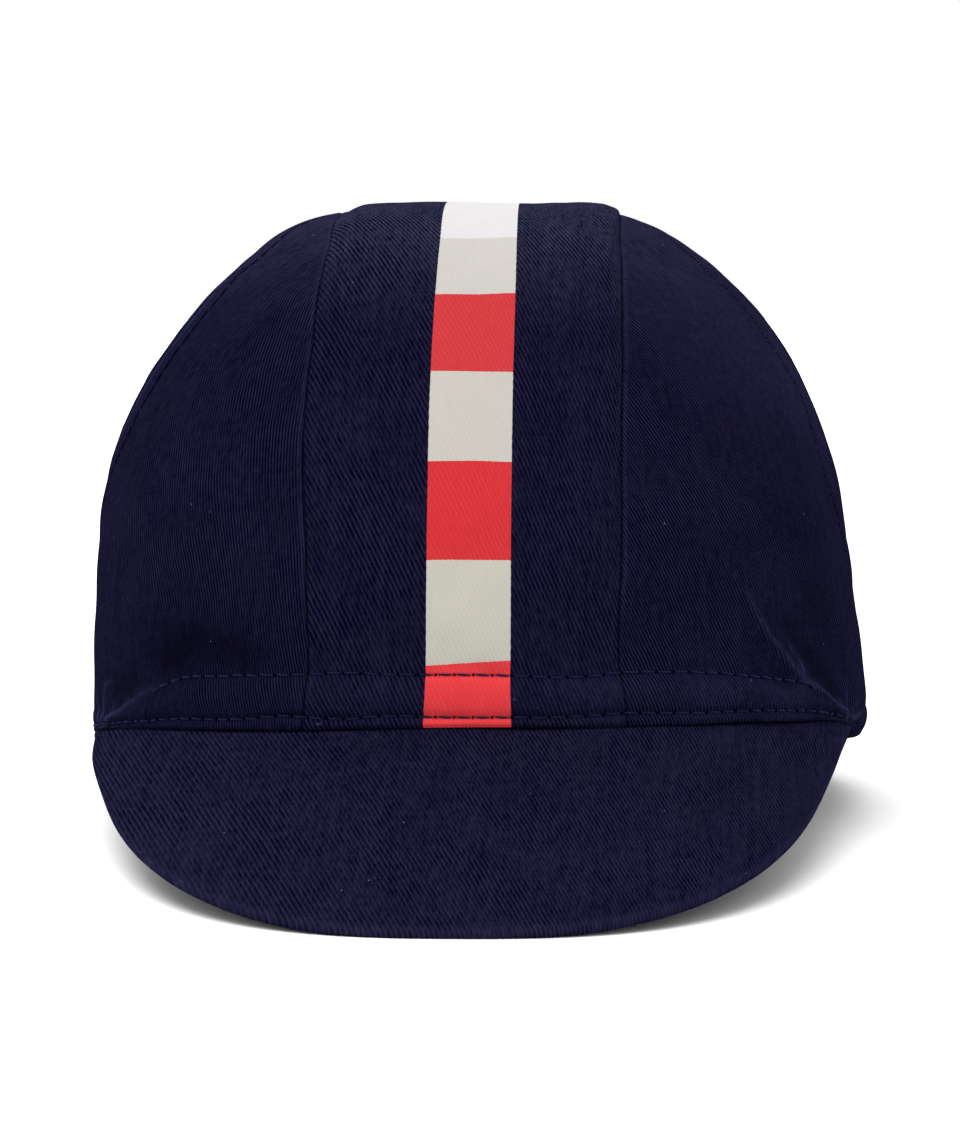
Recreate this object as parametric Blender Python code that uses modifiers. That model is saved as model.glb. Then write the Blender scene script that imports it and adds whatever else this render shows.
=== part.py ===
"""A cycling cap of cotton twill, resting by itself on a flat surface.

The crown is sewn from a centre strip, which runs from the peak over the top to the back, and
from a front and a rear panel on each side. A sweatband lines its lower edge, and a peak of two
layers of cloth hangs from the front. Left and right are the wearer's.

Lengths are in metres. While a piece is shaped, +X is the wearer's left, -Y the front and +Z up,
and z = 0 is the plane of the crown's lower edge. At the end the whole cap tips back until the
tip of the peak and the back of the lower edge stand on the floor. The origin is then on the
floor, under the middle of the cap.
"""
import math

import bmesh
import bpy
import numpy as np

# The crown's rounded form, to the outside of the cloth
EDGE_HALF_WIDTH = 0.0856
EDGE_FRONT = 0.0960
EDGE_BACK = 0.0980
CROWN_HEIGHT = 0.1185
EDGE_ROUNDNESS = 2.15
SHOULDER_ROUNDNESS = 2.59
FRONT_ROUNDNESS = 2.58
BACK_ROUNDNESS = 2.25

# Cloth and seams
CROWN_CLOTH = 0.0012
BAND_CLOTH = 0.0012
PEAK_CLOTH = 0.0010
SEAM_GAP = 0.0003
SEAM_DEPTH = 0.0011
SEAM_BREADTH = 0.0050

# The centre strip, its seams and its printed blocks
STRIP_HALF_WIDTH = 0.0310
STRIP_EDGE_LIFT = 0.0020
STRIP_EDGE_CURL = 2.5
STRIPE_HALF_WIDTH = 0.0084
FIRST_BLOCK = 0.0124
BLOCK = 0.0201
ROWS_IN_BLOCK = 3

# The side panels: where the ear seam stands on the lower edge and meets the strip, and the
# corners up to which a panel's upright threads start from the lower edge
EAR_SEAM_FOOT = 0.0020
EAR_SEAM_TOP = 0.1520
EAR_SEAM_BOW = 0.0270
FRONT_CORNER = 0.0620
BACK_CORNER = 0.0700

# The casing along the lower edge, held by a lower and an upper row of stitches
CASING_HEIGHT = 0.0106
CASING_PUFF = 0.0005
BAND_FOOT = 0.0007
BAND_GAP = 0.0008

# The gathers that the elastic makes in the back of the casing
GATHER_DEPTH = 0.0006
GATHERS_IN_STRIP = 4
GATHER_HEIGHT = 0.0340
GATHER_HALF_TURN = 58.0
GATHER_FADE_TURN = 15.0

# The peak. Its ends stop short of the crown's sides, and it sits a little to the wearer's right.
PEAK_INSET = 0.0050
PEAK_HALF_CHORD = EDGE_HALF_WIDTH - PEAK_INSET
PEAK_ASIDE = -0.0011
PEAK_REACH = 0.0525
PEAK_END = 0.0020
PEAK_DROP_ANGLE = 35.5
PEAK_SIDE_EASE = 13.0
PEAK_NARROWING = 2.1
PEAK_LEFT_ROUNDNESS = 2.72
PEAK_RIGHT_ROUNDNESS = 2.5

# How far the back of the edge and the tip of the peak are pressed flat by the floor
REST_FLAT = 0.0009

# The centre strip from its front edge to its back edge. Its middle, and the stripe in it, wander
# a little to the wearer's left.
STRIP_SHAPE = (
    # share of the length, then as shares of STRIP_HALF_WIDTH: half width, middle, stripe in it
    (0.00, 1.030, 0.000, 0.026),
    (0.05, 0.985, -0.010, 0.040),
    (0.10, 1.006, -0.018, 0.053),
    (0.17, 1.022, -0.030, 0.066),
    (0.28, 0.995, 0.008, 0.044),
    (0.34, 0.956, 0.053, 0.000),
    (0.42, 0.935, 0.056, -0.018),
    (0.60, 0.950, 0.030, 0.000),
    (0.80, 0.985, 0.000, 0.000),
    (1.00, 1.000, 0.000, 0.000),
)

# How far the sides stand out from the rounded form, by height. Low down this grows over
# SIDE_RUN of the way from the strip to the side. Between the two rises of AT_SEAM_RISES it comes
# to hold right up to the strip's seams, over a margin of SEAM_MARGIN of the strip.
SIDE_FULLNESS = (
    # share of CROWN_HEIGHT, then as shares of EDGE_HALF_WIDTH: left side, right side
    (0.00, 0.006, -0.002),
    (0.14, 0.001, -0.007),
    (0.23, -0.006, -0.004),
    (0.32, -0.011, 0.007),
    (0.45, -0.010, 0.026),
    (0.55, -0.004, 0.028),
    (0.65, -0.001, 0.022),
    (0.75, 0.000, 0.010),
    (0.85, 0.000, 0.008),
    (0.93, 0.012, 0.024),
    (1.00, 0.020, 0.022),
)
SIDE_RUN = 0.5
AT_SEAM_RISES = (0.75, 0.95)
SEAM_MARGIN = 0.1

# Soft folds in the crown: a hollow runs from the first place to the second. A turn is the angle
# from the front, positive to the wearer's left, and a rise a share of CROWN_HEIGHT.
FOLDS = (
    # turn, rise, turn, rise, then as shares of EDGE_HALF_WIDTH: depth at the start, breadth
    (64.0, 0.03, 42.0, 0.30, 0.022, 0.085),
    (68.0, 0.02, 58.0, 0.20, -0.012, 0.060),
    (78.0, 0.02, 84.0, 0.16, 0.016, 0.075),
    (-64.0, 0.03, -46.0, 0.12, 0.020, 0.085),
    (-68.0, 0.10, -66.0, 0.32, -0.010, 0.070),
    (-82.0, 0.03, -88.0, 0.18, 0.012, 0.080),
)
FOLD_END_DEPTH = 0.3

# Grids of the pieces: columns across and rows up or out. A panel's rows are those in the
# casing and those above it.
STRIP_COLUMNS = (-1.0, -0.75, -0.5, -0.27, 0.0, 0.27, 0.5, 0.75, 1.0)
FRONT_GRID = (20, 2, 13)
REAR_GRID = (24, 2, 11)
BAND_GRID = (72, 2)
PEAK_GRID = (40, 7)
PROFILE_STEPS = 720

NAVY = (0.009, 0.010, 0.028)
PEAK_NAVY = (0.010, 0.011, 0.030)
BAND_NAVY = (0.012, 0.013, 0.034)
RED = (0.68, 0.045, 0.054)
BEIGE = (0.61, 0.58, 0.51)
WHITE = (0.84, 0.83, 0.84)
ROUGHNESS = 0.88
SHARP_TURN = 40.0
STRIPE_COLOURS = (RED, BEIGE, WHITE)
BLOCK_ORDER = (RED, BEIGE, RED, BEIGE, RED, BEIGE, WHITE, WHITE)

TINY = 1e-9
STEP = 1e-5


def column(points):
    return points[:, 0], points[:, 1], points[:, 2]


def smooth(share):
    """Goes evenly from 0 to 1."""
    share = np.clip(share, 0.0, 1.0)
    return share * share * (3.0 - 2.0 * share)


def scaled(points):
    """1 on the crown's rounded form, less inside and more outside."""
    x, y, z = column(np.abs(points))
    at_back = points[:, 1] > 0.0
    reach = np.where(at_back, EDGE_BACK, EDGE_FRONT)
    bend = np.where(at_back, BACK_ROUNDNESS, FRONT_ROUNDNESS)
    profile = ((y / reach) ** bend + (z / CROWN_HEIGHT) ** bend) ** (1.0 / bend)
    rise = z / np.maximum(np.hypot(y, z), TINY)
    across = EDGE_ROUNDNESS + (SHOULDER_ROUNDNESS - EDGE_ROUNDNESS) * rise
    return ((x / EDGE_HALF_WIDTH) ** across + profile**across) ** (1.0 / across)


def on_form(points):
    """Moves points straight out from the middle of the lower edge onto the form."""
    return points / scaled(points)[:, None]


def outward(points):
    """The form's unit normals."""
    slopes = [scaled(points + move) - scaled(points - move) for move in np.eye(3) * STEP]
    normals = np.stack(slopes, axis=1)
    return normals / np.linalg.norm(normals, axis=1)[:, None]


def centre_profile():
    """The strip's middle line: its angles from the front edge, and the lengths up to them."""
    angles = np.linspace(0.0, math.pi, PROFILE_STEPS + 1)
    line = on_form(np.stack([angles * 0.0, -np.cos(angles), np.sin(angles)], axis=1))
    steps = np.linalg.norm(np.diff(line, axis=0), axis=1)
    return angles, np.concatenate([[0.0], np.cumsum(steps)])


PROFILE_ANGLES, PROFILE_LENGTHS = centre_profile()
STRIP_LENGTH = PROFILE_LENGTHS[-1]


def strip_shape(along):
    """Half width, middle and place of the stripe at lengths along the strip."""
    shares, widths, middles, stripes = np.array(STRIP_SHAPE).T
    share = along / STRIP_LENGTH
    columns = (widths, middles, stripes)
    return [np.interp(share, shares, each) * STRIP_HALF_WIDTH for each in columns]


def beside_middle(x, along):
    """Points on the form at x from the middle plane, level with a length along the strip."""
    angle = np.interp(along, PROFILE_LENGTHS, PROFILE_ANGLES)
    flat = np.stack([x * 0.0, -np.cos(angle), np.sin(angle)], axis=1)
    reach = 1.0 / scaled(flat)
    across = EDGE_ROUNDNESS + (SHOULDER_ROUNDNESS - EDGE_ROUNDNESS) * np.sin(angle)
    reach = reach * (1.0 - np.abs(x / EDGE_HALF_WIDTH) ** across) ** (1.0 / across)
    return np.stack([x, flat[:, 1] * reach, flat[:, 2] * reach], axis=1)


def strip_seam(side, along):
    """The side panels' edge along the strip."""
    half_width, middle, _ = strip_shape(along)
    return beside_middle(middle + side * (half_width + SEAM_GAP / 2), along)


def seam_ends(side, shift):
    """Foot and top of the ear seam, moved back by shift."""
    foot_y = np.array([EAR_SEAM_FOOT + shift])
    reach = EDGE_BACK if foot_y[0] > 0 else EDGE_FRONT
    share = 1.0 - np.abs(foot_y / reach) ** EDGE_ROUNDNESS
    foot_x = side * EDGE_HALF_WIDTH * share ** (1.0 / EDGE_ROUNDNESS)
    foot = np.stack([foot_x, foot_y, foot_y * 0.0], axis=1)
    return foot, strip_seam(side, np.array([EAR_SEAM_TOP + shift]))


def side_panel(side, rear):
    """Returns place(u, v) for a side panel: u from the strip to the ear seam, v upwards."""
    shift = SEAM_GAP / 2 if rear else -SEAM_GAP / 2
    foot, top = seam_ends(side, shift)
    start = STRIP_LENGTH if rear else 0.0
    corner = STRIP_LENGTH - BACK_CORNER if rear else FRONT_CORNER
    end = EAR_SEAM_TOP + shift
    height = BACK_CORNER if rear else FRONT_CORNER
    seam_length = math.dist(foot[0], top[0])
    forward = np.array([0.0, -EAR_SEAM_BOW, 0.0])

    def by_strip(v):
        return strip_seam(side, start + v * (corner - start))

    def by_ear(v):
        # The lowest rows run level, and the rest spread out up the longer ear seam.
        low = height / seam_length
        share = (v * low + (1.0 - low) * v**3)[:, None]
        return on_form(foot + (top - foot) * share + forward * 4.0 * share * (1.0 - share))

    def below(u):
        first = by_strip(u * 0.0)
        turn_first = np.arctan2(first[:, 0], -first[:, 1])
        turn_foot = np.arctan2(foot[0, 0], -foot[0, 1])
        turn_gap = (turn_foot - turn_first + math.pi) % (2 * math.pi) - math.pi
        turn = turn_first + turn_gap * u
        return on_form(np.stack([np.sin(turn), -np.cos(turn), turn * 0.0], axis=1))

    def above(u):
        return strip_seam(side, corner + u * (end - corner))

    def place(u, v):
        one = np.ones_like(u)
        left, right = u[:, None], v[:, None]
        across = (1 - left) * by_strip(v) + left * by_ear(v)
        upright = (1 - right) * below(u) + right * above(u)
        corners = (1 - left) * (1 - right) * by_strip(one * 0) + left * (1 - right) * foot
        corners = corners + (1 - left) * right * by_strip(one) + left * right * top
        return on_form(across + upright - corners)

    return place, by_ear


def turn_of(points):
    """Angle from the front around the upright axis, in degrees, positive to the left."""
    return np.degrees(np.arctan2(points[:, 0], -points[:, 1]))


def fold_relief(points):
    """Depth of the soft folds, as a move along the normals."""
    total = np.zeros(len(points))
    for turn_a, rise_a, turn_b, rise_b, depth, breadth in FOLDS:
        turns = np.radians([turn_a, turn_b])
        ends = np.stack([np.sin(turns), -np.cos(turns), np.zeros(2)], axis=1)
        ends = on_form(ends) * [1.0, 1.0, 0.0]
        ends[:, 2] = np.array([rise_a, rise_b]) * CROWN_HEIGHT
        line = ends[1] - ends[0]
        share = np.clip((points - ends[0]) @ line / (line @ line), 0.0, 1.0)
        away = np.linalg.norm(points - ends[0] - share[:, None] * line, axis=1)
        spread = away / (breadth * EDGE_HALF_WIDTH)
        fade = 1.0 + (FOLD_END_DEPTH - 1.0) * share
        total -= depth * EDGE_HALF_WIDTH * fade * np.exp(-(spread**2))
    return total


def relief(points):
    """How far the cloth stands out from the rounded form."""
    x, y, z = column(points)
    rise = z / CROWN_HEIGHT
    rises, left, right = np.array(SIDE_FULLNESS).T
    fullness = np.where(x > 0, np.interp(rise, rises, left), np.interp(rise, rises, right))
    run = (EDGE_HALF_WIDTH - STRIP_HALF_WIDTH) * SIDE_RUN
    beside = smooth((np.abs(x) - STRIP_HALF_WIDTH) / run)
    near_top = smooth((rise - AT_SEAM_RISES[0]) / (AT_SEAM_RISES[1] - AT_SEAM_RISES[0]))
    at_seam = smooth(1.0 + (np.abs(x) / STRIP_HALF_WIDTH - 1.0) / SEAM_MARGIN)
    total = fullness * EDGE_HALF_WIDTH * np.maximum(beside, near_top * at_seam)
    casing = np.sin(math.pi * np.clip(z / CASING_HEIGHT, 0.0, 1.0))
    total += CASING_PUFF * casing
    back_turn = 180.0 - np.abs(turn_of(points))
    around = smooth((GATHER_HALF_TURN - back_turn) / GATHER_FADE_TURN)
    fade = 1.0 - smooth(z / GATHER_HEIGHT)
    pitch = 2.0 * STRIP_HALF_WIDTH / GATHERS_IN_STRIP
    waves = np.cos(2.0 * math.pi * np.radians(back_turn) * EDGE_BACK / pitch)
    total -= GATHER_DEPTH * waves * around * fade
    return total + fold_relief(points) * beside


def crown_surface(points, lift=0.0):
    """The outside of the cloth: the form with its relief and a further lift."""
    return points + outward(points) * (relief(points) + lift)[:, None]


def strip_place(u, v):
    """The centre strip: u across from -1 to 1, v a length from the front edge to the back."""
    half_width, middle, stripe = strip_shape(v)
    x = middle + u * (half_width - SEAM_GAP / 2) + stripe * (1.0 - np.abs(u))
    points = beside_middle(x, v)
    lift = STRIP_EDGE_LIFT * np.abs(u) ** STRIP_EDGE_CURL * smooth(points[:, 2] / CROWN_HEIGHT)
    return crown_surface(points, lift)


def panel_place(side, rear):
    shape, ear_seam = side_panel(side, rear)

    def place(u, v):
        points = shape(u, v)
        away = np.linalg.norm(points - ear_seam(v), axis=1)
        above_casing = smooth((points[:, 2] / CASING_HEIGHT - 1.0) / 2.0)
        return crown_surface(points, -SEAM_DEPTH * np.exp(-away / SEAM_BREADTH) * above_casing)

    return place


def band_place(u, v):
    """The ring of the crown's lower edge: u around from -1 to 1, v a height."""
    turn = u * math.pi
    level = np.stack([np.sin(turn), -np.cos(turn), turn * 0.0], axis=1)
    edge = on_form(level)
    steep = (1.0 - (v / CROWN_HEIGHT) ** FRONT_ROUNDNESS) ** (1.0 / FRONT_ROUNDNESS)
    points = edge * steep[:, None]
    points[:, 2] = v
    return crown_surface(on_form(points))


def edge_y(x):
    """The front of the crown's lower edge."""
    share = 1.0 - np.abs(x / EDGE_HALF_WIDTH) ** EDGE_ROUNDNESS
    return -EDGE_FRONT * share ** (1.0 / EDGE_ROUNDNESS)


def peak_place(u, v):
    """The peak's upper side: u across from -1 to 1, v out from the crown's edge."""
    across = np.sin(math.pi / 2 * u)
    x = PEAK_HALF_CHORD * across + PEAK_ASIDE
    inner = edge_y(x) + SEAM_GAP
    corner = edge_y(PEAK_HALF_CHORD + abs(PEAK_ASIDE)) - PEAK_END
    roundness = np.where(across > 0.0, PEAK_LEFT_ROUNDNESS, PEAK_RIGHT_ROUNDNESS)
    bow = np.clip(1.0 - np.abs(across) ** roundness, 0.0, 1.0) ** (1.0 / roundness)
    outer = corner - (EDGE_FRONT + PEAK_REACH + corner) * bow
    ahead = np.maximum(inner - outer, PEAK_END) * v
    angle = np.radians(PEAK_DROP_ANGLE - PEAK_SIDE_EASE * across**2)
    narrowed = x - PEAK_HALF_CHORD * across * PEAK_NARROWING * ahead
    return np.stack([narrowed, inner - ahead, -SEAM_GAP - np.tan(angle) * ahead], axis=1)


def rest_pose():
    """Angle and lift that put the tip of the peak and the back of the edge on the floor."""
    tip = peak_place(np.array([0.0]), np.array([1.0]))[0]
    slope = math.radians(PEAK_DROP_ANGLE)
    thickness = 2 * PEAK_CLOTH + SEAM_GAP
    tip_y = tip[1] + thickness * math.sin(slope)
    tip_z = tip[2] - thickness * math.cos(slope)
    angle = math.atan2(-tip_z, EDGE_BACK - tip_y)
    return angle, EDGE_BACK * math.sin(angle) - REST_FLAT


def cloth_material(name, colour):
    material = bpy.data.materials.new(name)
    material.use_nodes = True
    shader = material.node_tree.nodes["Principled BSDF"]
    shader.inputs["Base Color"].default_value = (*colour, 1.0)
    shader.inputs["Roughness"].default_value = ROUGHNESS
    shader.inputs["Metallic"].default_value = 0.0
    material.diffuse_color = (*colour, 1.0)
    return material


def cloth_piece(name, across, along, place, cloth, sunk, materials, paint=None):
    """One piece of cloth: a grid put in place, closed where it meets itself, and thickened.

    across and along are the grid's u and v values. The cloth lies sunk below the placed
    surface. paint(u, v) picks a face's material.
    """
    mesh = bpy.data.meshes.new(name)
    work = bmesh.new()
    sides = (len(across) - 1, len(along) - 1)
    bmesh.ops.create_grid(work, x_segments=sides[0], y_segments=sides[1], size=1.0)
    work.verts.ensure_lookup_table()
    flat = np.array([vert.co for vert in work.verts])
    columns = np.rint((flat[:, 0] + 1.0) / 2.0 * sides[0]).astype(int)
    rows = np.rint((flat[:, 1] + 1.0) / 2.0 * sides[1]).astype(int)
    if paint:
        for face in work.faces:
            middle = face.calc_center_median()
            column_share = (middle.x + 1.0) / 2.0 * sides[0]
            row_share = (middle.y + 1.0) / 2.0 * sides[1]
            u = float(np.interp(column_share, range(len(across)), across))
            v = float(np.interp(row_share, range(len(along)), along))
            face.material_index = paint(u, v)
    placed = place(np.array(across)[columns], np.array(along)[rows])
    for vert, spot in zip(work.verts, placed):
        vert.co = spot
    bmesh.ops.remove_doubles(work, verts=work.verts, dist=SEAM_GAP / 10)
    work.normal_update()
    middle = max(work.faces, key=lambda face: face.calc_area())
    if middle.normal.dot(middle.calc_center_median()) < 0:
        bmesh.ops.reverse_faces(work, faces=work.faces)
        work.normal_update()
    for vert in work.verts:
        vert.co -= vert.normal * sunk
    work.to_mesh(mesh)
    work.free()
    for material in materials:
        mesh.materials.append(material)
    piece = bpy.data.objects.new(name, mesh)
    bpy.context.scene.collection.objects.link(piece)
    wall = piece.modifiers.new("cloth", "SOLIDIFY")
    wall.thickness = cloth
    wall.offset = -1.0
    wall.use_quality_normals = True
    return piece


def even(first, last, count):
    return list(np.linspace(first, last, count + 1))


def strip_rows():
    """Lengths along the strip: the edges of the printed blocks, with rows between them."""
    marks = [0.0, FIRST_BLOCK]
    while marks[-1] + BLOCK * 1.5 < STRIP_LENGTH:
        marks.append(marks[-1] + BLOCK)
    marks.append(STRIP_LENGTH)
    rows = [0.0]
    for first, last in zip(marks, marks[1:]):
        rows += even(first, last, ROWS_IN_BLOCK)[1:]
    return rows


def strip_paint(u, v):
    """Material slot of a face of the strip: 0 is the plain cloth beside the stripe."""
    if abs(u) * STRIP_HALF_WIDTH > STRIPE_HALF_WIDTH:
        return 0
    block = 0 if v < FIRST_BLOCK else 1 + int((v - FIRST_BLOCK) / BLOCK)
    return 1 + STRIPE_COLOURS.index(BLOCK_ORDER[block % len(BLOCK_ORDER)])


def panel_rows(casing_rows, rows_above, height):
    """Shares of a panel's height, with rows for the casing first."""
    casing = CASING_HEIGHT / height
    return even(0.0, casing, casing_rows) + even(casing, 1.0, rows_above)[1:]


def build_crown():
    plain = cloth_material("centre_strip_cloth", NAVY)
    printed = [cloth_material(f"stripe_block_{n}", c) for n, c in enumerate(STRIPE_COLOURS)]
    pieces = [
        cloth_piece("centre_strip", STRIP_COLUMNS, strip_rows(), strip_place, CROWN_CLOTH, 0.0,
                    [plain] + printed, strip_paint)
    ]
    for word, side in (("left", 1), ("right", -1)):
        for part, rear, grid, height in (
            ("front", False, FRONT_GRID, FRONT_CORNER),
            ("rear", True, REAR_GRID, BACK_CORNER),
        ):
            name = f"{part}_panel_{word}"
            pieces.append(
                cloth_piece(name, even(0.0, 1.0, grid[0]), panel_rows(*grid[1:], height),
                            panel_place(side, rear), CROWN_CLOTH, 0.0,
                            [cloth_material(f"{name}_cloth", NAVY)])
            )
    return pieces


def build_band():
    return cloth_piece("sweatband", even(-1.0, 1.0, BAND_GRID[0]),
                       even(BAND_FOOT, CASING_HEIGHT, BAND_GRID[1]), band_place,
                       BAND_CLOTH, CROWN_CLOTH + BAND_GAP,
                       [cloth_material("sweatband_cloth", BAND_NAVY)])


def build_peak():
    layers = (("peak_top", 0.0), ("peak_underside", PEAK_CLOTH + SEAM_GAP))
    return [
        cloth_piece(name, even(-1.0, 1.0, PEAK_GRID[0]), even(0.0, 1.0, PEAK_GRID[1]),
                    peak_place, PEAK_CLOTH, sunk, [cloth_material(f"{name}_cloth", PEAK_NAVY)])
        for name, sunk in layers
    ]


def settle(pieces, home):
    """Bakes the walls, sets the cap down on the floor and centres it over the origin."""
    angle, lift = rest_pose()
    turn = np.array([[1, 0, 0],
                     [0, math.cos(angle), math.sin(angle)],
                     [0, -math.sin(angle), math.cos(angle)]])
    depsgraph = bpy.context.evaluated_depsgraph_get()
    places = []
    for piece in pieces:
        mesh = bpy.data.meshes.new_from_object(piece.evaluated_get(depsgraph))
        points = np.empty(len(mesh.vertices) * 3)
        mesh.vertices.foreach_get("co", points)
        points = points.reshape(-1, 3) @ turn.T + [0.0, 0.0, lift]
        points[:, 2] = np.maximum(points[:, 2], 0.0)
        places.append((piece, mesh, points))
    every = np.concatenate([points for _, _, points in places])
    middle = (every.min(axis=0) + every.max(axis=0)) / 2 * [1.0, 1.0, 0.0]
    for piece, mesh, points in places:
        mesh.vertices.foreach_set("co", (points - middle).ravel())
        mesh.update()
        mesh.shade_smooth()
        mesh.set_sharp_from_angle(angle=math.radians(SHARP_TURN))
        piece.modifiers.clear()
        piece.data = mesh
        bpy.context.scene.collection.objects.unlink(piece)
        home.objects.link(piece)


def main():
    for thing in list(bpy.data.objects):
        bpy.data.objects.remove(thing, do_unlink=True)
    home = bpy.data.collections.new("cycling_cap")
    bpy.context.scene.collection.children.link(home)
    settle(build_crown() + [build_band()] + build_peak(), home)


main()
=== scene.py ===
"""The looks of a cycling cap of navy cotton twill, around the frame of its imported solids.

The pieces repeat the form and the named values of the part's source on a finer grid, with rolled
seams, two rows of stitches, gathers and creases. Lengths are in metres, and left and right are the
wearer's. While a piece is shaped, +X is the wearer's left, -Y the front and +Z up, and z = 0 is
the plane of the crown's lower edge. Then it takes the pose in which the cap rests. Turns are in
degrees from the front, positive to the left. Values by side have 1 for the left, -1 for the right.
"""
from math import atan2, cos, dist, pi, radians, sin, sqrt, tan

import bmesh
import bpy
import numpy as np
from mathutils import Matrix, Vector


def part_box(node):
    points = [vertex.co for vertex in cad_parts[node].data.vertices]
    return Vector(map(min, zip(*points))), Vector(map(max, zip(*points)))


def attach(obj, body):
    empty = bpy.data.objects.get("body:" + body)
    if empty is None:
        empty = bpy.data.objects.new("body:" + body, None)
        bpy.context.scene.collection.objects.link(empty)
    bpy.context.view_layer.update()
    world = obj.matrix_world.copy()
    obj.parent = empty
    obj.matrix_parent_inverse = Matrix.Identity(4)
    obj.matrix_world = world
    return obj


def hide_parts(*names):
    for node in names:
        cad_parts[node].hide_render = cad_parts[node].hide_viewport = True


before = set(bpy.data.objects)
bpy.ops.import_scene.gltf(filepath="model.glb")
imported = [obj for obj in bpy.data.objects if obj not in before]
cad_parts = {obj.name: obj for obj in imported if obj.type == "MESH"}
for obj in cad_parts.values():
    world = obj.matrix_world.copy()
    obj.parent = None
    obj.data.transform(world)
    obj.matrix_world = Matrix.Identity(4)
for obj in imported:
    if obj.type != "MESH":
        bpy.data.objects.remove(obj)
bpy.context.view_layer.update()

# The crown's rounded form, to the outside of the cloth
HALF_WIDTH = 0.0856
EDGE_FRONT = 0.096
EDGE_BACK = 0.098
CROWN_HEIGHT = 0.1185
EDGE_ROUNDNESS = 2.15
SHOULDER_ROUNDNESS = 2.59
FRONT_ROUNDNESS = 2.58
BACK_ROUNDNESS = 2.25

# Cloth
CROWN_CLOTH = 0.0012
BAND_CLOTH = 0.0012
PEAK_CLOTH = 0.001
SEAM_GAP = 0.0003
SEAM_OVERLAP = 0.0001

# The centre strip
STRIP_HALF_WIDTH = 0.031
STRIP_EDGE_LIFT = {1: 0.0024, -1: 0.0022}
STRIP_EDGE_CURL = {1: 2, -1: 2.5}
STRIP_EDGE_FALL = {1: 0.0046, -1: 0.0054}
STRIP_FALL_CURL = 2.4
STRIP_SHAPE = (
    # share of the length, then thousandths of STRIP_HALF_WIDTH: half width, middle, stripe
    (0, 1030, 0, 29), (0.05, 985, -10, 48), (0.1, 1006, -18, 56), (0.17, 1022, -30, 73),
    (0.28, 1004.5, -11.5, 61.5), (0.34, 984, 17, 23.5), (0.42, 966, 17, 18), (0.6, 961, 11, 19),
    (0.8, 985, 0, 0), (1, 1000, 0, 0),
)

# The side panels
EAR_SEAM_FOOT = 0.002
EAR_SEAM_TOP = 0.152
EAR_SEAM_BOW = {1: 0.0225, -1: 0.027}
FRONT_CORNER = 0.062
BACK_CORNER = 0.07
SIDE_FULLNESS = (
    # share of CROWN_HEIGHT, then thousandths of HALF_WIDTH: left side, right side
    (0, 13, 4), (0.05, 11.5, 2), (0.1, 3, -6), (0.15, -7, -2), (0.2, -12, 2), (0.32, -16, 12),
    (0.45, -19.5, 21.5), (0.55, -11.5, 25), (0.65, -7.5, 17.5), (0.72, -3, 6), (0.77, 0, 1.5),
    (0.85, -8, 5), (0.88, -6.5, 16.5), (0.91, 2, 25), (0.94, 9.5, 24.5), (1, 18, 20),
)
SIDE_RUN = 0.5
AT_SEAM_RISES = (0.75, 0.95)
SEAM_MARGIN = 0.1
FOLDS = (
    # turn, rise, turn, rise, then as shares of HALF_WIDTH: depth at the start, breadth
    (64, 0.03, 42, 0.3, 0.022, 0.085),
    (68, 0.02, 58, 0.2, -0.012, 0.06),
    (78, 0.02, 84, 0.16, 0.016, 0.075),
    (-64, 0.03, -46, 0.12, 0.02, 0.085),
    (-68, 0.1, -66, 0.32, -0.01, 0.07),
    (-82, 0.03, -88, 0.18, 0.012, 0.08),
)
FOLD_END_DEPTH = 0.3

# Seams: the edges of two pieces roll in towards each other, over a breadth and to a depth
SEAM_SINK = 0.00028
STRIP_ROLL = 0.0008
PANEL_ROLL = 0.0007
PANEL_TOP_DROP = {1: 0.0006, -1: 0.0009}
PANEL_TOP_BREADTH = {1: 0.006, -1: 0.008}
EAR_VALLEY = {1: 0.0003, -1: 0.0005}
EAR_VALLEY_BREADTH = 0.0045
REAR_PUFF = {1: 0.0002, -1: 0.0001}
REAR_PUFF_PLACE = 0.0039
REAR_PUFF_BREADTH = 0.003
SEAM_STITCH = 0.0033

# The casing and its two rows of stitches: turns, and heights above the lower edge in mm
LOWER_ROW = (
    (-180, 2.1), (-120, 2), (-90, 1.7), (-65, 1.4), (-54, 1.5), (-46, 1.7), (-40, 2.1),
    (-29, 2.1), (-22, 2.9), (-17, 2.2), (-14, 1.9), (-9, 2.4), (-3, 2), (2, 1.9), (8, 1.9),
    (14, 2.2), (20, 2.7), (25, 2.6), (31, 2.3), (41, 2.4), (51, 1.9), (57, 1.5), (66, 1.4),
    (90, 1.7), (120, 2), (180, 2.1),
)
UPPER_ROW = (
    (-180, 10), (-115, 9.8), (-95, 9), (-80, 6.7), (-70, 4.6), (-62, 3.8), (-56, 4.3),
    (-50, 5.6), (-45, 7.6), (-41, 9.3), (-37, 10.3), (-22, 10.6), (-15, 10.7), (-7, 10.2),
    (2, 10.1), (12, 9.7), (20, 10.7), (24, 10.8), (31, 10.4), (39, 9.4), (44, 8.8), (48, 8.2),
    (52, 6.9), (57, 4.8), (62, 3.9), (70, 4.6), (82, 6.8), (97, 9), (115, 9.8), (180, 10),
)
EDGE_RISE = (
    (-180, 0), (-80, 0), (-54, -0.1), (-40, -0.4), (-29, -0.8), (-21, -1), (-15, -0.7),
    (-5, -0.45), (2, -0.3), (11, -0.2), (19, 0), (28, 0.7), (35, 1.4), (41, 1.7), (47, 2.1),
    (54, 2.5), (60, 2.3), (65, 1.2), (72, 0.1), (80, 0), (180, 0),
)
EDGE_RISE_HEIGHT = 0.025
CASING_HEIGHT = 0.0106
CASING_PUFF = 0.0006
HEM_PUFF = 0.0002
ROW_DEPTH = 0.00045
ROW_UNEVEN = 0.3
ROW_BREADTH = 0.0008
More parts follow.
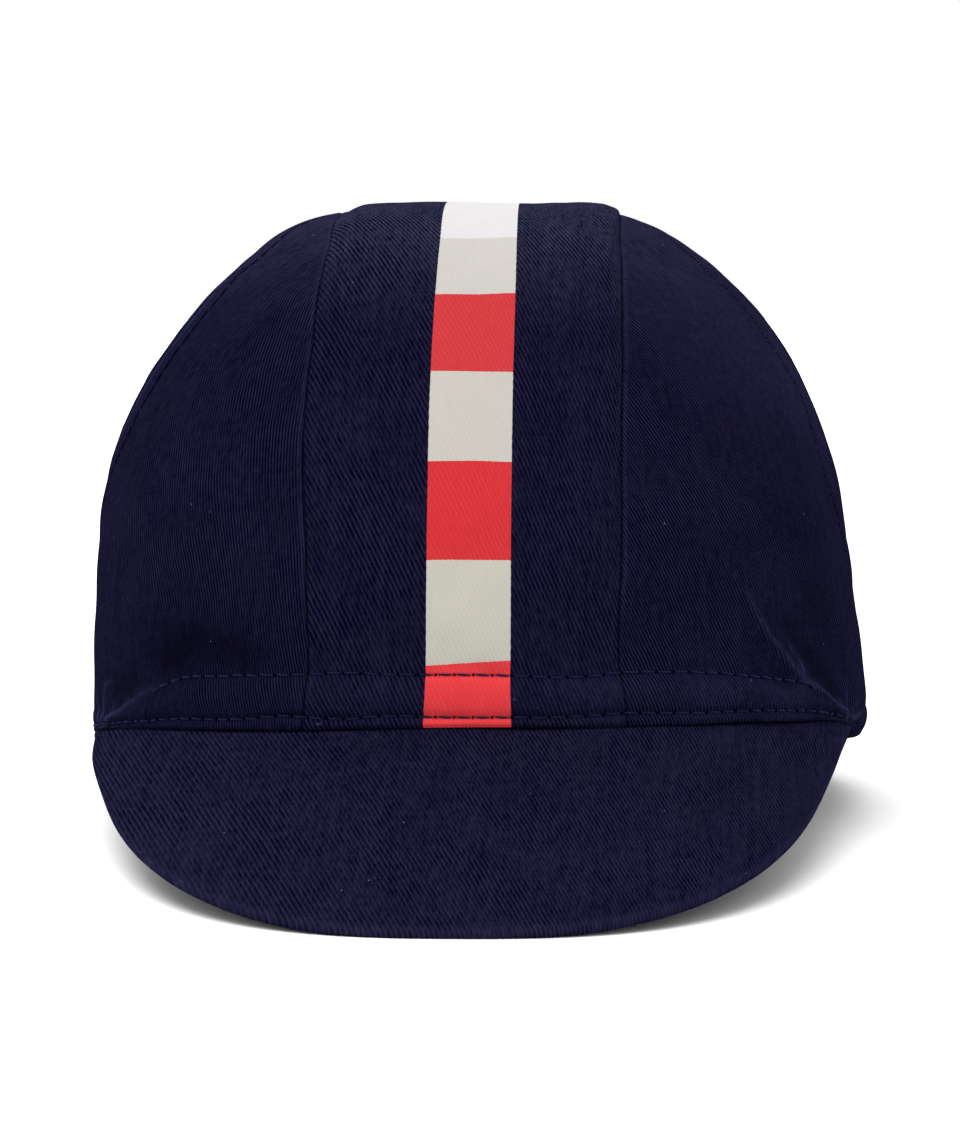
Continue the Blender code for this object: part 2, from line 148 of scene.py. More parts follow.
ABOVE_ROW_BREADTH = 0.0026
ROW_PUCKER = 0.00016
PUCKER_REACH = 0.003
PUCKER_FLATTENING = 0.35
QUIET_TURNS = (58, 70, 108, 130)
QUIET_CASING = 0.25
BAND_FOOT = 0.0007
BAND_GAP = 0.0008
BAND_GROOVE = 0.00025
BAND_GROOVE_BREADTH = 0.0007

# Where the cloth folds over the rows and hides their stitches
HIDDEN_UPPER = ((-110, -96, -50, -42), (47, 53, 100, 112))
HIDDEN_LOWER = (63, 68, 100, 112)
HIDDEN_RISE = 0.01
STITCH_SINK = 0.0005

# Gathers of the elastic in the back, broad as in the source and fine between them
GATHER_DEPTH = 0.0006
GATHER_PITCH = 0.0155
GATHER_HEIGHT = 0.034
GATHER_HALF_TURN = 58
GATHER_FADE_TURN = 15
FINE_GATHER_DEPTH = 0.0005
FINE_GATHER_PITCH = 0.0058
FINE_GATHER_HEIGHT = 0.024
FINE_GATHER_SWAY = 0.34
FINE_GATHER_UNEVEN = 0.55

# Creases: height and breadth in mm, share of the height at the end, then turns and mm up
CREASES = (
    (0.55, 1.1, 0.6, -67, 0.6, -61.4, 2.6, -55, 4.3, -50.5, 5.9, -44.6, 8.4, -41.2, 10.2, -38.1,
     11.2),
    (-0.8, 3.6, 0.6, -58, 7.5, -50, 10, -43, 13, -36, 17.4, -28, 14.5, -19.6, 13.2),
    (0.8, 4, 0.5, -47, 11, -44.6, 20, -44.3, 34),
    (0.4, 0.9, 0.4, -68.5, 1.5, -67.6, 6, -66.8, 10.5),
    (0.4, 0.9, 0.4, -67.2, 1.5, -65.4, 5.5, -62.6, 9.5, -58.5, 11),
    (0.25, 0.8, 0.2, -64, 2, -58, 6, -54.5, 8),
    (1.1, 1, 0.45, 61.5, 0.6, 59.3, 2.6, 53.3, 5.2, 48.9, 7.9, 46.5, 9.8, 44.4, 12.6, 42.3, 15.8,
     40.4, 18.6, 37.9, 24, 35.5, 28.2, 34.9, 34),
    (0.35, 0.9, 0.3, 47.2, 11.2, 45.6, 14.8, 44, 18, 42, 22),
    (-0.9, 3, 0.4, 57.5, 6, 51.5, 11, 46.5, 17.5, 41.5, 26.5),
    (-0.5, 2.4, 0.5, 43.5, 9.5, 39.5, 13, 36, 20),
    (0.35, 0.8, 0.3, 63.4, 2, 57.3, 6.2, 54.8, 9.2),
    (0.3, 0.7, 0.2, 65.2, 2.5, 66.3, 9.4),
    (0.3, 0.6, 0.3, 65.3, 2, 67.8, 4.3, 70.5, 5),
    (0.22, 0.7, 0.2, 64.6, 2.2, 61.8, 7.5, 60.6, 12),
    (0.6, 6, 0.3, 102, 14, 96, 40, 92, 66),
    (0.8, 5.5, 0.3, 128, 10, 118, 30, 108, 48),
    (-0.9, 6, 0.3, 139, 17, 131, 34, 124, 52),
    (0.9, 5, 0.3, 150, 12, 143, 30, 138, 52),
    (-0.7, 5, 0.3, 162, 17, 158, 36, 156, 60),
    (-0.6, 5, 0.3, -112, 16, -104, 30, -97, 46),
    (-0.9, 6, 0.3, -133, 17, -124, 30, -114, 46),
    (0.9, 5, 0.3, -146, 12, -137, 34, -130, 56),
    (0.7, 5.5, 0.3, -161, 13, -155, 38, -154, 62),
)
CREASE_END = 0.25
SHARP_CREASE = 1.6

# Soft unevenness of the crown: its height, what is added behind the ears, and where that starts
SOFT_HEIGHT = 0.0003
SOFT_HEIGHT_BEHIND = 0.00035
SOFT_BEHIND_TURN = 70
SOFT_BEHIND_RUN = 30
SOFT_FINE_HEIGHT = 0.00008
SOFT_RUN = 0.02
CORNER_DRAW = (
    # turn, then how far the lower edge is drawn in there, in mm
    (-180, 0), (60, 0), (66, 1), (74, 3.2), (94, 3.2), (125, 0.8), (150, 0), (180, 0),
)
CORNER_DRAW_HEIGHT = 0.0068

# Wear, painted light and painted shade: lighter above 0, darker below
WORN_SHARE = 0.42
WORN_FADE = 1.5
WORN_NARROWING = 3
# Painted shade in the creases' valleys and painted light on their ridges, per metre of depth or
# height
VALLEY_SHADE = 550
RIDGE_SHADE = 60
# Painted light on the puffed casing between the rows
CASING_PAINTED_LIGHT = 0.05
# Painted highlight along the rear panels' puffed rim beside the ear seams
RIM_PAINTED_LIGHT = {1: 0.05, -1: 0.3}
RIM_PLACE = 0.0066
RIM_BREADTH = 0.001
# Painted highlight on the side panels' raised edge beside the strip
SEAM_PAINTED_HIGHLIGHT = 0.13
SEAM_HIGHLIGHT_PLACE = 0.0008
SEAM_HIGHLIGHT_BREADTH = 0.0004
PEAK_WORN = 0.12
PEAK_WORN_PLACE = 0.0006
PEAK_WORN_BREADTH = 0.0009
PAINTED_FOLD_LIGHT_AND_SHADE = (
    # turn, height and breadth in mm, share: painted light of broad folds above 0, painted shade
    # below
    (40, 86, 20, 0.1), (58, 74, 18, 0.12), (47, 42, 13, -0.24), (53, 24, 14, -0.28),
    (-40, 15, 13, -0.36), (-27, 17, 9, -0.2), (-52, 60, 16, -0.12), (16, 4, 9, 0.05),
    (30, 4, 9, 0.07), (43, 3, 9, 0.07),
)

# Random waves: seed and usual length
RIPPLES = {
    "row": (3, 0.006), "pucker": (5, 0.0052), "gather_sway": (11, 0.024),
    "gather": (12, 0.015), "soft": (21, 0.038), "soft_fine": (22, 0.011),
    "peak": (41, 0.03),
}
RIPPLE_WAVES = 16
RIPPLE_SPREAD = (0.7, 1.5)

# The peak
PEAK_HALF = HALF_WIDTH - 0.005
PEAK_ASIDE = -0.0011
PEAK_REACH = 0.0525
PEAK_END = 0.002
PEAK_DROP_ANGLE = 35.5
PEAK_SIDE_EASE = 13
PEAK_NARROWING = 2.1
PEAK_ROUNDNESS = {1: 2.71, -1: 2.53}
PEAK_TUCK = 0.0013
PEAK_GAP_START = 0.6
PEAK_END_TUCK = 0.0024
PEAK_END_TUCK_POWER = 16
PEAK_ROLL = 0.0013
PEAK_RIM_CLOSING = 0.75
PEAK_RIM_HALF = 0.0001
PEAK_THINNEST = 0.00005
PEAK_RISE_RUN = 0.018
PEAK_UNEVEN = 0.00014
PEAK_UNEVEN_RUN = 0.01
PEAK_SWELLS = (
    # side, how far the rim stands out there, place ahead of the crown's edge, reach
    (1, 0.0012, 0, 0.009),
    (1, -0.0009, 0.033, 0.021),
    (-1, 0.0018, 0.015, 0.017),
)
PEAK_SWELL_POWER = 5
PEAK_CORNER_LIFT = {1: 0, -1: 0.0005}
PEAK_CORNER_POWER = 24

# Rest on the tip of the peak and the back of the edge, which the floor presses flat
REST_FLAT = 0.0009
REST_ASIDE = 0.00039
RIM_STEPS = 800

# Grids: columns and rows of each piece
STRIP_GRID = (72, 330)
PANEL_GRIDS = {"front": (150, 190), "rear": (132, 112)}
BAND_GRID = (320, 14)
PEAK_GRID = (170, 52)
FINE_ENDS = 0.11
PROFILE_STEPS = 2880

# Threads: the arch of a stitch, how it dips in and out, and how unlike the stitches are
STITCH = 0.0037
STITCH_GAP = 0.1
THREAD_RADIUS = 0.0002
THREAD_SAMPLES = 9
THREAD_SIDES = 7
THREAD_ARCH_POWER = 0.4
THREAD_DIP = -1.5
THREAD_RISE = 2.2
THREAD_TAPER = 0.55
THREAD_SEED = 51
THREAD_UNEVEN = (0.85, 1.15)
THREAD_TILT = (0.00016, 0.00008)
THREAD_SHIFT = 0.00005
THREAD_TWIST = 0.0007
THREAD_PLIES = 2
THREAD_GRAIN = (2500, 3)
THREAD_TONE = 0.25
THREAD_RELIEF = 0.00004
THREAD_FINISH = (0.55, 0.1)
ROW_STEPS = 7200

# Weave: angle and distance of the ribs, distance of warp and of weft threads, and relief
RIB_ANGLE = 115
RIB_PITCH = 0.00084
WARP_PITCH = 0.00024
WEFT_PITCH = 0.0005
WEFT_GRAIN = 160
WEAVE_RELIEF = 0.00015
RIB_SWAY = 0.0004
SWAY_GRAIN = 140
SLUB_GRAIN = (0.16, 0.05)
PLAIN_TONE = 0.4
YARN_TONE = 0.05
TEXTURES = {"float": 0.3, "fuzz": 0.42, "patch": 0.5, "slub": 0.34, "weft": 0.34, "mottle": 0.34}
GRAINS = {
    # scale of a noise and its detail
    "fuzz": (4200, 2), "patch": (520, 2), "mottle": (60, 3), "clear": (80, 3),
    "patchy": (900, 3), "ragged": (1500, 2), "seam": (260, 2),
}
MAP_SCALE = 0.86
MAP_STRETCH = 2.6
PEAK_MAP_STRETCH = 2.7
CLOTH_FINISH = (0.86, 0.006)
SHEEN_ROUGHNESS = 0.4
STRIP_WEAVE = (114, 0.33)
BAND_WEAVE = (90, 1, 0.0006)
# The peak's shade of 1.2 makes its navy lighter than the panels': painted light on the same cloth
PEAK_WEAVE = (112, 1.2, RIB_PITCH, 0.27)
PANELS = (
    # part, side, then of its ribs: angle, shade, distance, strength, and shade of its ear seam; a
    # shade below 1 is painted shade
    ("front", "left", 117, 0.87, 0.00069, 0.54, 0.35),
    ("rear", "left", 115, 0.87, 0.00069, 0.54, 0.35),
    ("front", "right", 100, 0.87, 0.00066, 0.46, 1),
    ("rear", "right", 105, 0.87, 0.00066, 0.46, 1),
)

# Easings: a first and a last value, and what they are turned into
CLEAR_RIBS = (0.36, 0.64, 0.5, 1.3)
PATCHY = (0.3, 0.7, 0.35, 1)
NEEDLE_HOLE = (0.00022, 0.00052, 0.92, 0)
ROW_LINE = (0.00015, 0.0006, 0.35, 0)
STRIP_LINE = (0.2, 1, 0.6, 0)
EAR_LINE = (0.3, 1)
EAR_DASH = (0.26, 0.42, 0.95, 0.3)
# Painted top light: the navy grows lighter with height towards the crown's top
TOP_LIGHT_RISE = (0.104, 0.142, 0, 0.5)
SPECK_SIZE = (0.02, 0.05, 0.55, 0)
SPECK_CHOICE = (0.8, 0.82)
FACE_SIDE = (0.3, 0.6, 1, 0)
STRIPE_FOOT = (0, 0.008, 1 / 1.04, 1)
STRIPE_TOP = (0.08, 0.115, 1, 1 / 0.966)
PRINT_SHADE = (0, 1, 0.968, 1.008)
PRINT_CHALK = (0.2, 0.9, 0, 0.012)
PRINT_FLATTENING = (0, 1, 1, 0.28)

# Seam lines of painted shade: breadth, and what the noise adds
STRIP_LINE_BREADTH = (0.00005, 0.0009)
EAR_LINE_BREADTH = (0.0001, 0.0028)

# How fine the light specks are
SPECK_SCALE = 210

# The printed stripe
STRIPE_HALF_WIDTH = 0.00827
STRIPE_BLUR = 0.00006
STRIPE_RAGGED = 0.00015
BLOCK_RAGGED = 0.00025
FIRST_BLOCK = 0.0124
BLOCK = 0.0201
FIRST_SLANT = -0.06
SLANT_REACH = 0.02
BLOCKS = (
    # linear colours from the front edge to the top, then again to the back; the reds and the
    # beiges each differ from block to block as painted light and shade of one print colour
    (0.558, 0.0355, 0.041, 1), (0.403, 0.386, 0.336, 1), (0.449, 0.0233, 0.0277, 1),
    (0.4, 0.382, 0.343, 1), (0.422, 0.0289, 0.0331, 1), (0.407, 0.387, 0.363, 1),
    (0.488, 0.478, 0.484, 1), (0.488, 0.478, 0.484, 1),
)

# Colours, linear
# The yarn's navy, darker in the furrows and lighter on the crests of the ribs: partly painted
# shade and light of the weave
FURROW = (0.0011, 0.0007, 0.0088, 1)
CREST = (0.0133, 0.0125, 0.0325, 1)
# Lighter navy for wear and for painted light
WEAR_AND_PAINTED_LIGHT = (0.042, 0.048, 0.125, 1)
# Painted top light of the crown
PAINTED_TOP_LIGHT = (0.062, 0.064, 0.13, 1)
# Painted shade for valleys, seams, rows and needle holes
PAINTED_SHADE = (0.0008, 0.0006, 0.0025, 1)
SPECK = (0.12, 0.13, 0.17, 1)
CHALK = (0.8, 0.8, 0.8, 1)
THREAD = (0.011, 0.015, 0.048, 1)
THREAD_FURROW = (0.004, 0.005, 0.02, 1)
SHEEN = (0.55, 0.58, 1, 1)
PAPER = ((0.9, 0.9, 0.9, 1), (0.93, 0.93, 0.93, 1))
WHITE = (1, 1, 1, 1)

# Light and camera
FLOOR_REACH = 30
FLOOR_ROUGHNESS = 0.9
FLOOR_GRAIN = 60
FLOOR_RELIEF = 0.0001
WORLD_LIGHT = 1
LIGHTS = (
    # name, place that it shines from, breadth in degrees, strength
    ("high_light", (-0.25, -0.85, 2.1), 45, 1.9),
    ("back_light", (-0.7, 1, 1.1), 35, 1.4),
)
CAMERA_AZIMUTH = 2
CAMERA_ELEVATION = 4.9
CAMERA_DISTANCE = 0.69
CAMERA_TARGET = (0.0002, 0.0287, 0.0522)
CAMERA_LENS = 114.75
SENSOR_WIDTH = 36

SIDES = {"left": 1, "right": -1}
TINY = 1e-9
STEP = 1e-5
ACROSS_STEP = 0.001
FAR = 1.0


def stacked(*columns):
    return np.stack(columns, axis=1)


def sizes(vectors):
    return np.linalg.norm(vectors, axis=1)


def unit(vectors):
    return vectors / np.linalg.norm(vectors, axis=-1, keepdims=True)


def lengths_to(line):
    """The length along a line up to each of its points."""
    return np.concatenate([[0], np.cumsum(sizes(np.diff(line, axis=0)))])


def blend(share, first, last):
    return first * (1 - share) + last * share


def by_side(place, values):
    return np.where(place > 0, values[1], values[-1])


def smooth(share):
    """Goes evenly from 0 to 1."""
    share = np.clip(share, 0, 1)
    return share * share * (3 - 2 * share)


def bell(distance, breadth):
    """1 at a distance of 0, softly falling to 0."""
    return np.exp(-((distance / breadth) ** 2))


def arched(share):
    """Half a wave: 0 at 0 and at 1."""
    return np.sin(pi * np.clip(share, 0, 1))


def rolled(distance, size):
    """0 inside a piece and 1 on its edge, along a quarter of a circle."""
    share = np.clip(1 - distance / size, 0, 1)
    return 1 - np.sqrt(1 - share * share)


def curve(at, table, value=1):
    """A smooth curve through one column of a table, whose first column is the place."""
    rows = np.array(table, float)
    places, heights = rows[:, 0], rows[:, value]
    steps = np.diff(heights) / np.diff(places)
    product = steps[1:] * steps[:-1]
    level = product <= 0
    mean = 2 * product / np.where(level, 1, steps[1:] + steps[:-1])
    slopes = np.concatenate([steps[:1], np.where(level, 0, mean), steps[-1:]])
    first = np.clip(np.searchsorted(places, at) - 1, 0, len(places) - 2)
    width = places[first + 1] - places[first]
    share = np.clip((at - places[first]) / width, 0, 1)
    start = share * (1 - share) ** 2 * width * slopes[first]
    end = share**2 * (1 - share) * width * slopes[first + 1]
    return blend(smooth(share), heights[first], heights[first + 1]) + start - end


def ripples(points, name):
    """Smooth random waves of about 1, the same in every run."""
    seed, length = RIPPLES[name]
    draw = np.random.default_rng(seed)
    total = np.zeros(len(points))
    for _ in range(RIPPLE_WAVES):
        way = draw.normal(size=3)
        way /= np.linalg.norm(way) * length * draw.uniform(*RIPPLE_SPREAD)
        total += np.sin(2 * pi * (points @ way + draw.random()))
    return total / sqrt(RIPPLE_WAVES / 2)


def beside(share, roundness):
    """How far a rounded outline reaches one way at a share of its reach the other way."""
    return np.maximum(1 - np.abs(share) ** roundness, 0) ** (1 / roundness)


def across_roundness(rise):
    return blend(rise, EDGE_ROUNDNESS, SHOULDER_ROUNDNESS)


def scaled(points):
    """1 on the crown's rounded form, less inside and more outside."""
    x, y, z = np.abs(points).T
    at_back = points[:, 1] > 0
    reach = np.where(at_back, EDGE_BACK, EDGE_FRONT)
    bend = np.where(at_back, BACK_ROUNDNESS, FRONT_ROUNDNESS)
    profile = ((y / reach) ** bend + (z / CROWN_HEIGHT) ** bend) ** (1 / bend)
    across = across_roundness(z / np.maximum(np.hypot(y, z), TINY))
    return ((x / HALF_WIDTH) ** across + profile**across) ** (1 / across)


def on_form(points):
    """Moves points straight out from the middle of the lower edge onto the form."""
    return points / scaled(points)[:, None]


def outward(points):
    """The form's unit normals."""
    moves = np.eye(3) * STEP
    return unit(stacked(*(scaled(points + move) - scaled(points - move) for move in moves)))


def upright_way(angles):
    """Ways in the middle plane, at angles up from the front."""
    return stacked(angles * 0, -np.cos(angles), np.sin(angles))


def level_way(turns):
    """Level ways at turns."""
    turns = np.radians(turns)
    return stacked(np.sin(turns), -np.cos(turns), turns * 0)


def turn_of(points):
    return np.degrees(np.arctan2(points[:, 0], -points[:, 1]))


# The strip's middle line: its angles from the front edge, and the lengths up to them
PROFILE_ANGLES = np.linspace(0, pi, PROFILE_STEPS + 1)
PROFILE_LENGTHS = lengths_to(on_form(upright_way(PROFILE_ANGLES)))
STRIP_LENGTH = PROFILE_LENGTHS[-1]


def strip_shape(along):
    """Half width, middle and place of the stripe at lengths along the strip."""
    share = along / STRIP_LENGTH
    return [curve(share, STRIP_SHAPE, value) / 1000 * STRIP_HALF_WIDTH for value in (1, 2, 3)]


def beside_middle(x, along):
    """Points on the form at x from the middle plane, level with a length along the strip."""
    angle = np.interp(along, PROFILE_LENGTHS, PROFILE_ANGLES)
    way = upright_way(angle)
    reach = beside(x / HALF_WIDTH, across_roundness(np.sin(angle))) / scaled(way)
    return stacked(x, way[:, 1] * reach, way[:, 2] * reach)


def along_of(points):
    """The length along the strip that points are level with."""
    angle = np.arctan2(np.maximum(points[:, 2], 0), -points[:, 1])
    return np.interp(angle, PROFILE_ANGLES, PROFILE_LENGTHS)


def strip_seam(side, along):
    """The side panels' edge along the strip."""
    half_width, middle, _ = strip_shape(along)
    return beside_middle(middle + side * (half_width - SEAM_OVERLAP / 2), along)


def seam_ends(side, shift):
    """Foot and top of the ear seam, moved back by shift."""
    foot_y = np.array([EAR_SEAM_FOOT + shift])
    reach = EDGE_BACK if foot_y[0] > 0 else EDGE_FRONT
    foot_x = side * HALF_WIDTH * beside(foot_y / reach, EDGE_ROUNDNESS)
    return stacked(foot_x, foot_y, foot_y * 0), strip_seam(side, np.array([EAR_SEAM_TOP + shift]))


def side_panel(side, rear):
    """Returns place(u, v) for a side panel: u from the strip to the ear seam, v upwards."""
    shift = -SEAM_OVERLAP / 2 if rear else SEAM_OVERLAP / 2
    foot, top = seam_ends(side, shift)
    start, height = (STRIP_LENGTH, BACK_CORNER) if rear else (0, FRONT_CORNER)
    corner = start - height if rear else height
    end = EAR_SEAM_TOP + shift
    seam_length = dist(foot[0], top[0])
    forward = np.array([0, -EAR_SEAM_BOW[side], 0])

    def by_strip(v):
        return strip_seam(side, start + v * (corner - start))

    def by_ear(v):
        # The lowest rows run level, and the rest spread out up the longer ear seam.
        low = height / seam_length
        share = blend(low, v**3, v)[:, None]
        return on_form(foot + (top - foot) * share + forward * 4 * share * (1 - share))

    def below(u):
        first = turn_of(by_strip(u * 0))
        return on_form(level_way(first + ((turn_of(foot) - first + 180) % 360 - 180) * u))

    def above(u):
        return strip_seam(side, corner + u * (end - corner))

    def place(u, v):
        left, right = u[:, None], v[:, None]
        corners = blend(left, blend(right, by_strip(u * 0), by_strip(u * 0 + 1)),
                        blend(right, foot, top))
        across = blend(left, by_strip(v), by_ear(v))
        return on_form(across + blend(right, below(u), above(u)) - corners)

    return place, by_ear


def ring(turns, heights):
    """Points on the form at turns and heights."""
    low = np.maximum(heights, 0)
    points = on_form(level_way(turns)) * beside(low / CROWN_HEIGHT, FRONT_ROUNDNESS)[:, None]
    points[:, 2] = low
    return on_form(points)


def near_line(points, first, last):
    """How far points are from a line, and the share of the way along it."""
    line = last - first
    share = np.clip((points - first) @ line / (line @ line), 0, 1)
    return sizes(points - first - share[:, None] * line), share


def near_path(points, places):
    """Distance to a path of turns and heights in mm, and the share of the way along it."""
    turns, heights = places.T
    spots = ring(turns, heights / 1000)
    lengths = lengths_to(spots)
    nearest = np.full(len(points), np.inf)
    share = np.zeros(len(points))
    for number in range(len(spots) - 1):
        away, part = near_line(points, *spots[number:number + 2])
        length = blend(part, *lengths[number:number + 2])
        share = np.where(away < nearest, length / lengths[-1], share)
        nearest = np.minimum(away, nearest)
    return nearest, share


def fold_relief(points):
    """Depth of the soft folds, as a move along the normals."""
    total = np.zeros(len(points))
    for turn_a, rise_a, turn_b, rise_b, depth, breadth in FOLDS:
        ends = on_form(level_way([turn_a, turn_b]))
        ends[:, 2] = np.array([rise_a, rise_b]) * CROWN_HEIGHT
        away, share = near_line(points, *ends)
        fade = blend(share, 1, FOLD_END_DEPTH)
        total -= depth * HALF_WIDTH * fade * bell(away, breadth * HALF_WIDTH)
    return total


def crease_relief(points):
    """The creases' relief, and a mark of wear and painted light on their ridges or, below 0,
    painted shade in their valleys.
    """
    total = np.zeros(len(points))
    wear_light_and_shade = np.zeros(len(points))
    for height, breadth, end, *places in CREASES:
        away, share = near_path(points, np.reshape(places, (-1, 2)))
        fade = blend(share, 1, end) * smooth((1 - share) / CREASE_END)
        spread = bell(away, breadth / 1000)
        total += height / 1000 * fade * spread
        if height > 0 and breadth < SHARP_CREASE:
            wear_light_and_shade = np.maximum(wear_light_and_shade, WORN_SHARE * fade**WORN_FADE * spread**WORN_NARROWING)
    # Valleys get painted shade, ridges painted light
    return total, np.where(total < 0, VALLEY_SHADE, RIDGE_SHADE) * total + wear_light_and_shade


def between(turn, turns):
    """1 between the two middle turns, fading to 0 at the outer two."""
    first, second, third, fourth = turns
    return smooth((turn - first) / (second - first)) * smooth((fourth - turn) / (fourth - third))


def row_heights(turn):
    return curve(turn, LOWER_ROW) / 1000, curve(turn, UPPER_ROW) / 1000


def in_casing(points):
    """0 at the two rows of stitches and 1 between them."""
    lower, upper = row_heights(turn_of(points))
    return arched((points[:, 2] - lower) / (upper - lower))


def row_relief(points):
    """The puffed casing, and the cloth drawn in along the two rows of stitches."""
    turn = turn_of(points)
    z = points[:, 2]
    lower, upper = row_heights(turn)
    total = CASING_PUFF * in_casing(points) + HEM_PUFF * arched(z / lower)
    uneven = 1 + ROW_UNEVEN * ripples(points, "row")
    pucker = ripples(points * [1, 1, PUCKER_FLATTENING], "pucker")
    for row, above in ((lower, ROW_BREADTH), (upper, ABOVE_ROW_BREADTH)):
        away = z - row
        total -= ROW_DEPTH * uneven * bell(away, np.where(away > 0, above, ROW_BREADTH))
        total += ROW_PUCKER * pucker * np.exp(-np.abs(away) / PUCKER_REACH)
    return total * blend(between(np.abs(turn), QUIET_TURNS), 1, QUIET_CASING)


def gather_relief(points):
    """The gathers that the elastic makes in the back of the casing."""
    back_turn = 180 - np.abs(turn_of(points))
    around = smooth((GATHER_HALF_TURN - back_turn) / GATHER_FADE_TURN)
    length = np.radians(back_turn) * EDGE_BACK
    z = points[:, 2]
    broad = np.cos(2 * pi * length / GATHER_PITCH) * (1 - smooth(z / GATHER_HEIGHT))
    sway = FINE_GATHER_SWAY * ripples(points, "gather_sway")
    fine = np.cos(2 * pi * (length / FINE_GATHER_PITCH + sway))
    fine = fine * (1 + FINE_GATHER_UNEVEN * ripples(points, "gather"))
    fine = fine * (1 - smooth(z / FINE_GATHER_HEIGHT))
    return -around * (GATHER_DEPTH * broad + FINE_GATHER_DEPTH * fine)


def near_top(z):
    low, high = AT_SEAM_RISES
    return smooth((z / CROWN_HEIGHT - low) / (high - low))


def form_relief(points):
    """How far the cloth stands out from the rounded form, without its small creases."""
    x, _, z = points.T
    left, right = (curve(z / CROWN_HEIGHT, SIDE_FULLNESS, value) / 1000 for value in (1, 2))
    run = (HALF_WIDTH - STRIP_HALF_WIDTH) * SIDE_RUN
    aside = smooth((np.abs(x) - STRIP_HALF_WIDTH) / run)
    at_seam = smooth(1 + (np.abs(x) / STRIP_HALF_WIDTH - 1) / SEAM_MARGIN)
    fullness = by_side(x, {1: left, -1: right}) * np.maximum(aside, near_top(z) * at_seam)
    drawn = curve(turn_of(points), CORNER_DRAW) / 1000 * rolled(z, CORNER_DRAW_HEIGHT)
    total = fullness * HALF_WIDTH + gather_relief(points)
    return total + fold_relief(points) * aside - drawn


def crown_relief(points):
    """The whole relief of the crown's outside, and its mark of wear, painted light and painted
    shade.
    """
    creases, wear_light_and_shade = crease_relief(points)
    behind = smooth((np.abs(turn_of(points)) - SOFT_BEHIND_TURN) / SOFT_BEHIND_RUN)
    soft = (SOFT_HEIGHT + SOFT_HEIGHT_BEHIND * behind) * ripples(points, "soft")
    soft += SOFT_FINE_HEIGHT * ripples(points, "soft_fine")
    total = form_relief(points) + row_relief(points) + creases
    # Painted light on the puffed casing
    wear_light_and_shade += CASING_PAINTED_LIGHT * in_casing(points)
    # Soft spots of painted light and painted shade over broad folds
    turns, heights, breadths, shares = np.array(PAINTED_FOLD_LIGHT_AND_SHADE).T
    for spot, breadth, share in zip(ring(turns, heights / 1000), breadths / 1000, shares):
        wear_light_and_shade += share * bell(sizes(points - spot), breadth)
    return total + soft * smooth(points[:, 2] / SOFT_RUN), wear_light_and_shade


def edge_rise(turn, share):
    """How far the lower edge is drawn up, where share goes from 0 at the edge to 1."""
    return curve(turn, EDGE_RISE) / 1000 * (1 - smooth(share))


def lifted(base, normals, height):
    """Places on the form moved out along their normals, with the lower edge drawn up."""
    moved = base + normals * height[:, None]
    moved[:, 2] += edge_rise(turn_of(base), base[:, 2] / EDGE_RISE_HEIGHT)
    return moved


def edge_y(x):
    """The front of the crown's lower edge."""
    return -EDGE_FRONT * beside(x / HALF_WIDTH, EDGE_ROUNDNESS)


def peak_outline(across):
    """For shares across from -1 to 1: x, the inner edge and the outer edge."""
    x = PEAK_HALF * across + PEAK_ASIDE
    inner = edge_y(x) + SEAM_GAP
    corner = edge_y(PEAK_HALF + abs(PEAK_ASIDE)) - PEAK_END
    roundness = by_side(across, PEAK_ROUNDNESS)
    bow = beside(across, roundness)
    return x, inner, corner - (EDGE_FRONT + PEAK_REACH + corner) * bow


def peak_slope(across):
    return np.tan(np.radians(PEAK_DROP_ANGLE - PEAK_SIDE_EASE * across**2))


def peak_place(across, ahead):
    """The peak's upper side, at lengths ahead of the crown's edge or tucked behind it."""
    x, inner, _ = peak_outline(across)
    out = np.maximum(ahead, 0)
    narrowed = x - PEAK_HALF * across * PEAK_NARROWING * out
    for side, amount, centre, reach in PEAK_SWELLS:
        swell = amount * side * bell(out - centre, reach)
        narrowed += swell * np.maximum(side * across, 0) ** PEAK_SWELL_POWER
    lift = by_side(across, PEAK_CORNER_LIFT) * np.abs(across) ** PEAK_CORNER_POWER
    gap = SEAM_GAP * smooth(ahead / PEAK_TUCK + PEAK_GAP_START)
    rise = edge_rise(np.degrees(np.arctan2(x, -inner)), out / PEAK_RISE_RUN)
    return stacked(narrowed, inner - ahead, lift - gap - peak_slope(across) * out + rise)


def rest_pose():
    """Angle and lift that put the tip of the peak and the back of the edge on the floor."""
    slope = radians(PEAK_DROP_ANGLE)
    thickness = 2 * PEAK_CLOTH + SEAM_GAP
    tip_y = -EDGE_FRONT - PEAK_REACH + thickness * sin(slope)
    drop = SEAM_GAP + tan(slope) * (PEAK_REACH + SEAM_GAP)
    angle = atan2(drop + thickness * cos(slope), EDGE_BACK - tip_y)
    return angle, EDGE_BACK * sin(angle) - REST_FLAT


REST_ANGLE, REST_LIFT = rest_pose()
REST_TURN = np.array([[1, 0, 0],
                      [0, cos(REST_ANGLE), sin(REST_ANGLE)],
                      [0, -sin(REST_ANGLE), cos(REST_ANGLE)]])


def rest_shift():
    """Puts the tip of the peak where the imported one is."""
    across = np.sin(np.linspace(-pi / 2, pi / 2, RIM_STEPS + 1))
    _, inner, outer = peak_outline(across)
    rim = peak_place(across, np.maximum(inner - outer, PEAK_END)) @ REST_TURN.T
    low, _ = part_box("peak_top")
    return np.array([REST_ASIDE, low.y - rim[:, 1].min(), REST_LIFT])


REST_SHIFT = rest_shift()


def at_rest(points):
    """Takes points into the row's frame, where the floor presses the cap flat."""
    placed = points @ REST_TURN.T + REST_SHIFT
    placed[:, 2] = np.maximum(placed[:, 2], 0)
    return placed


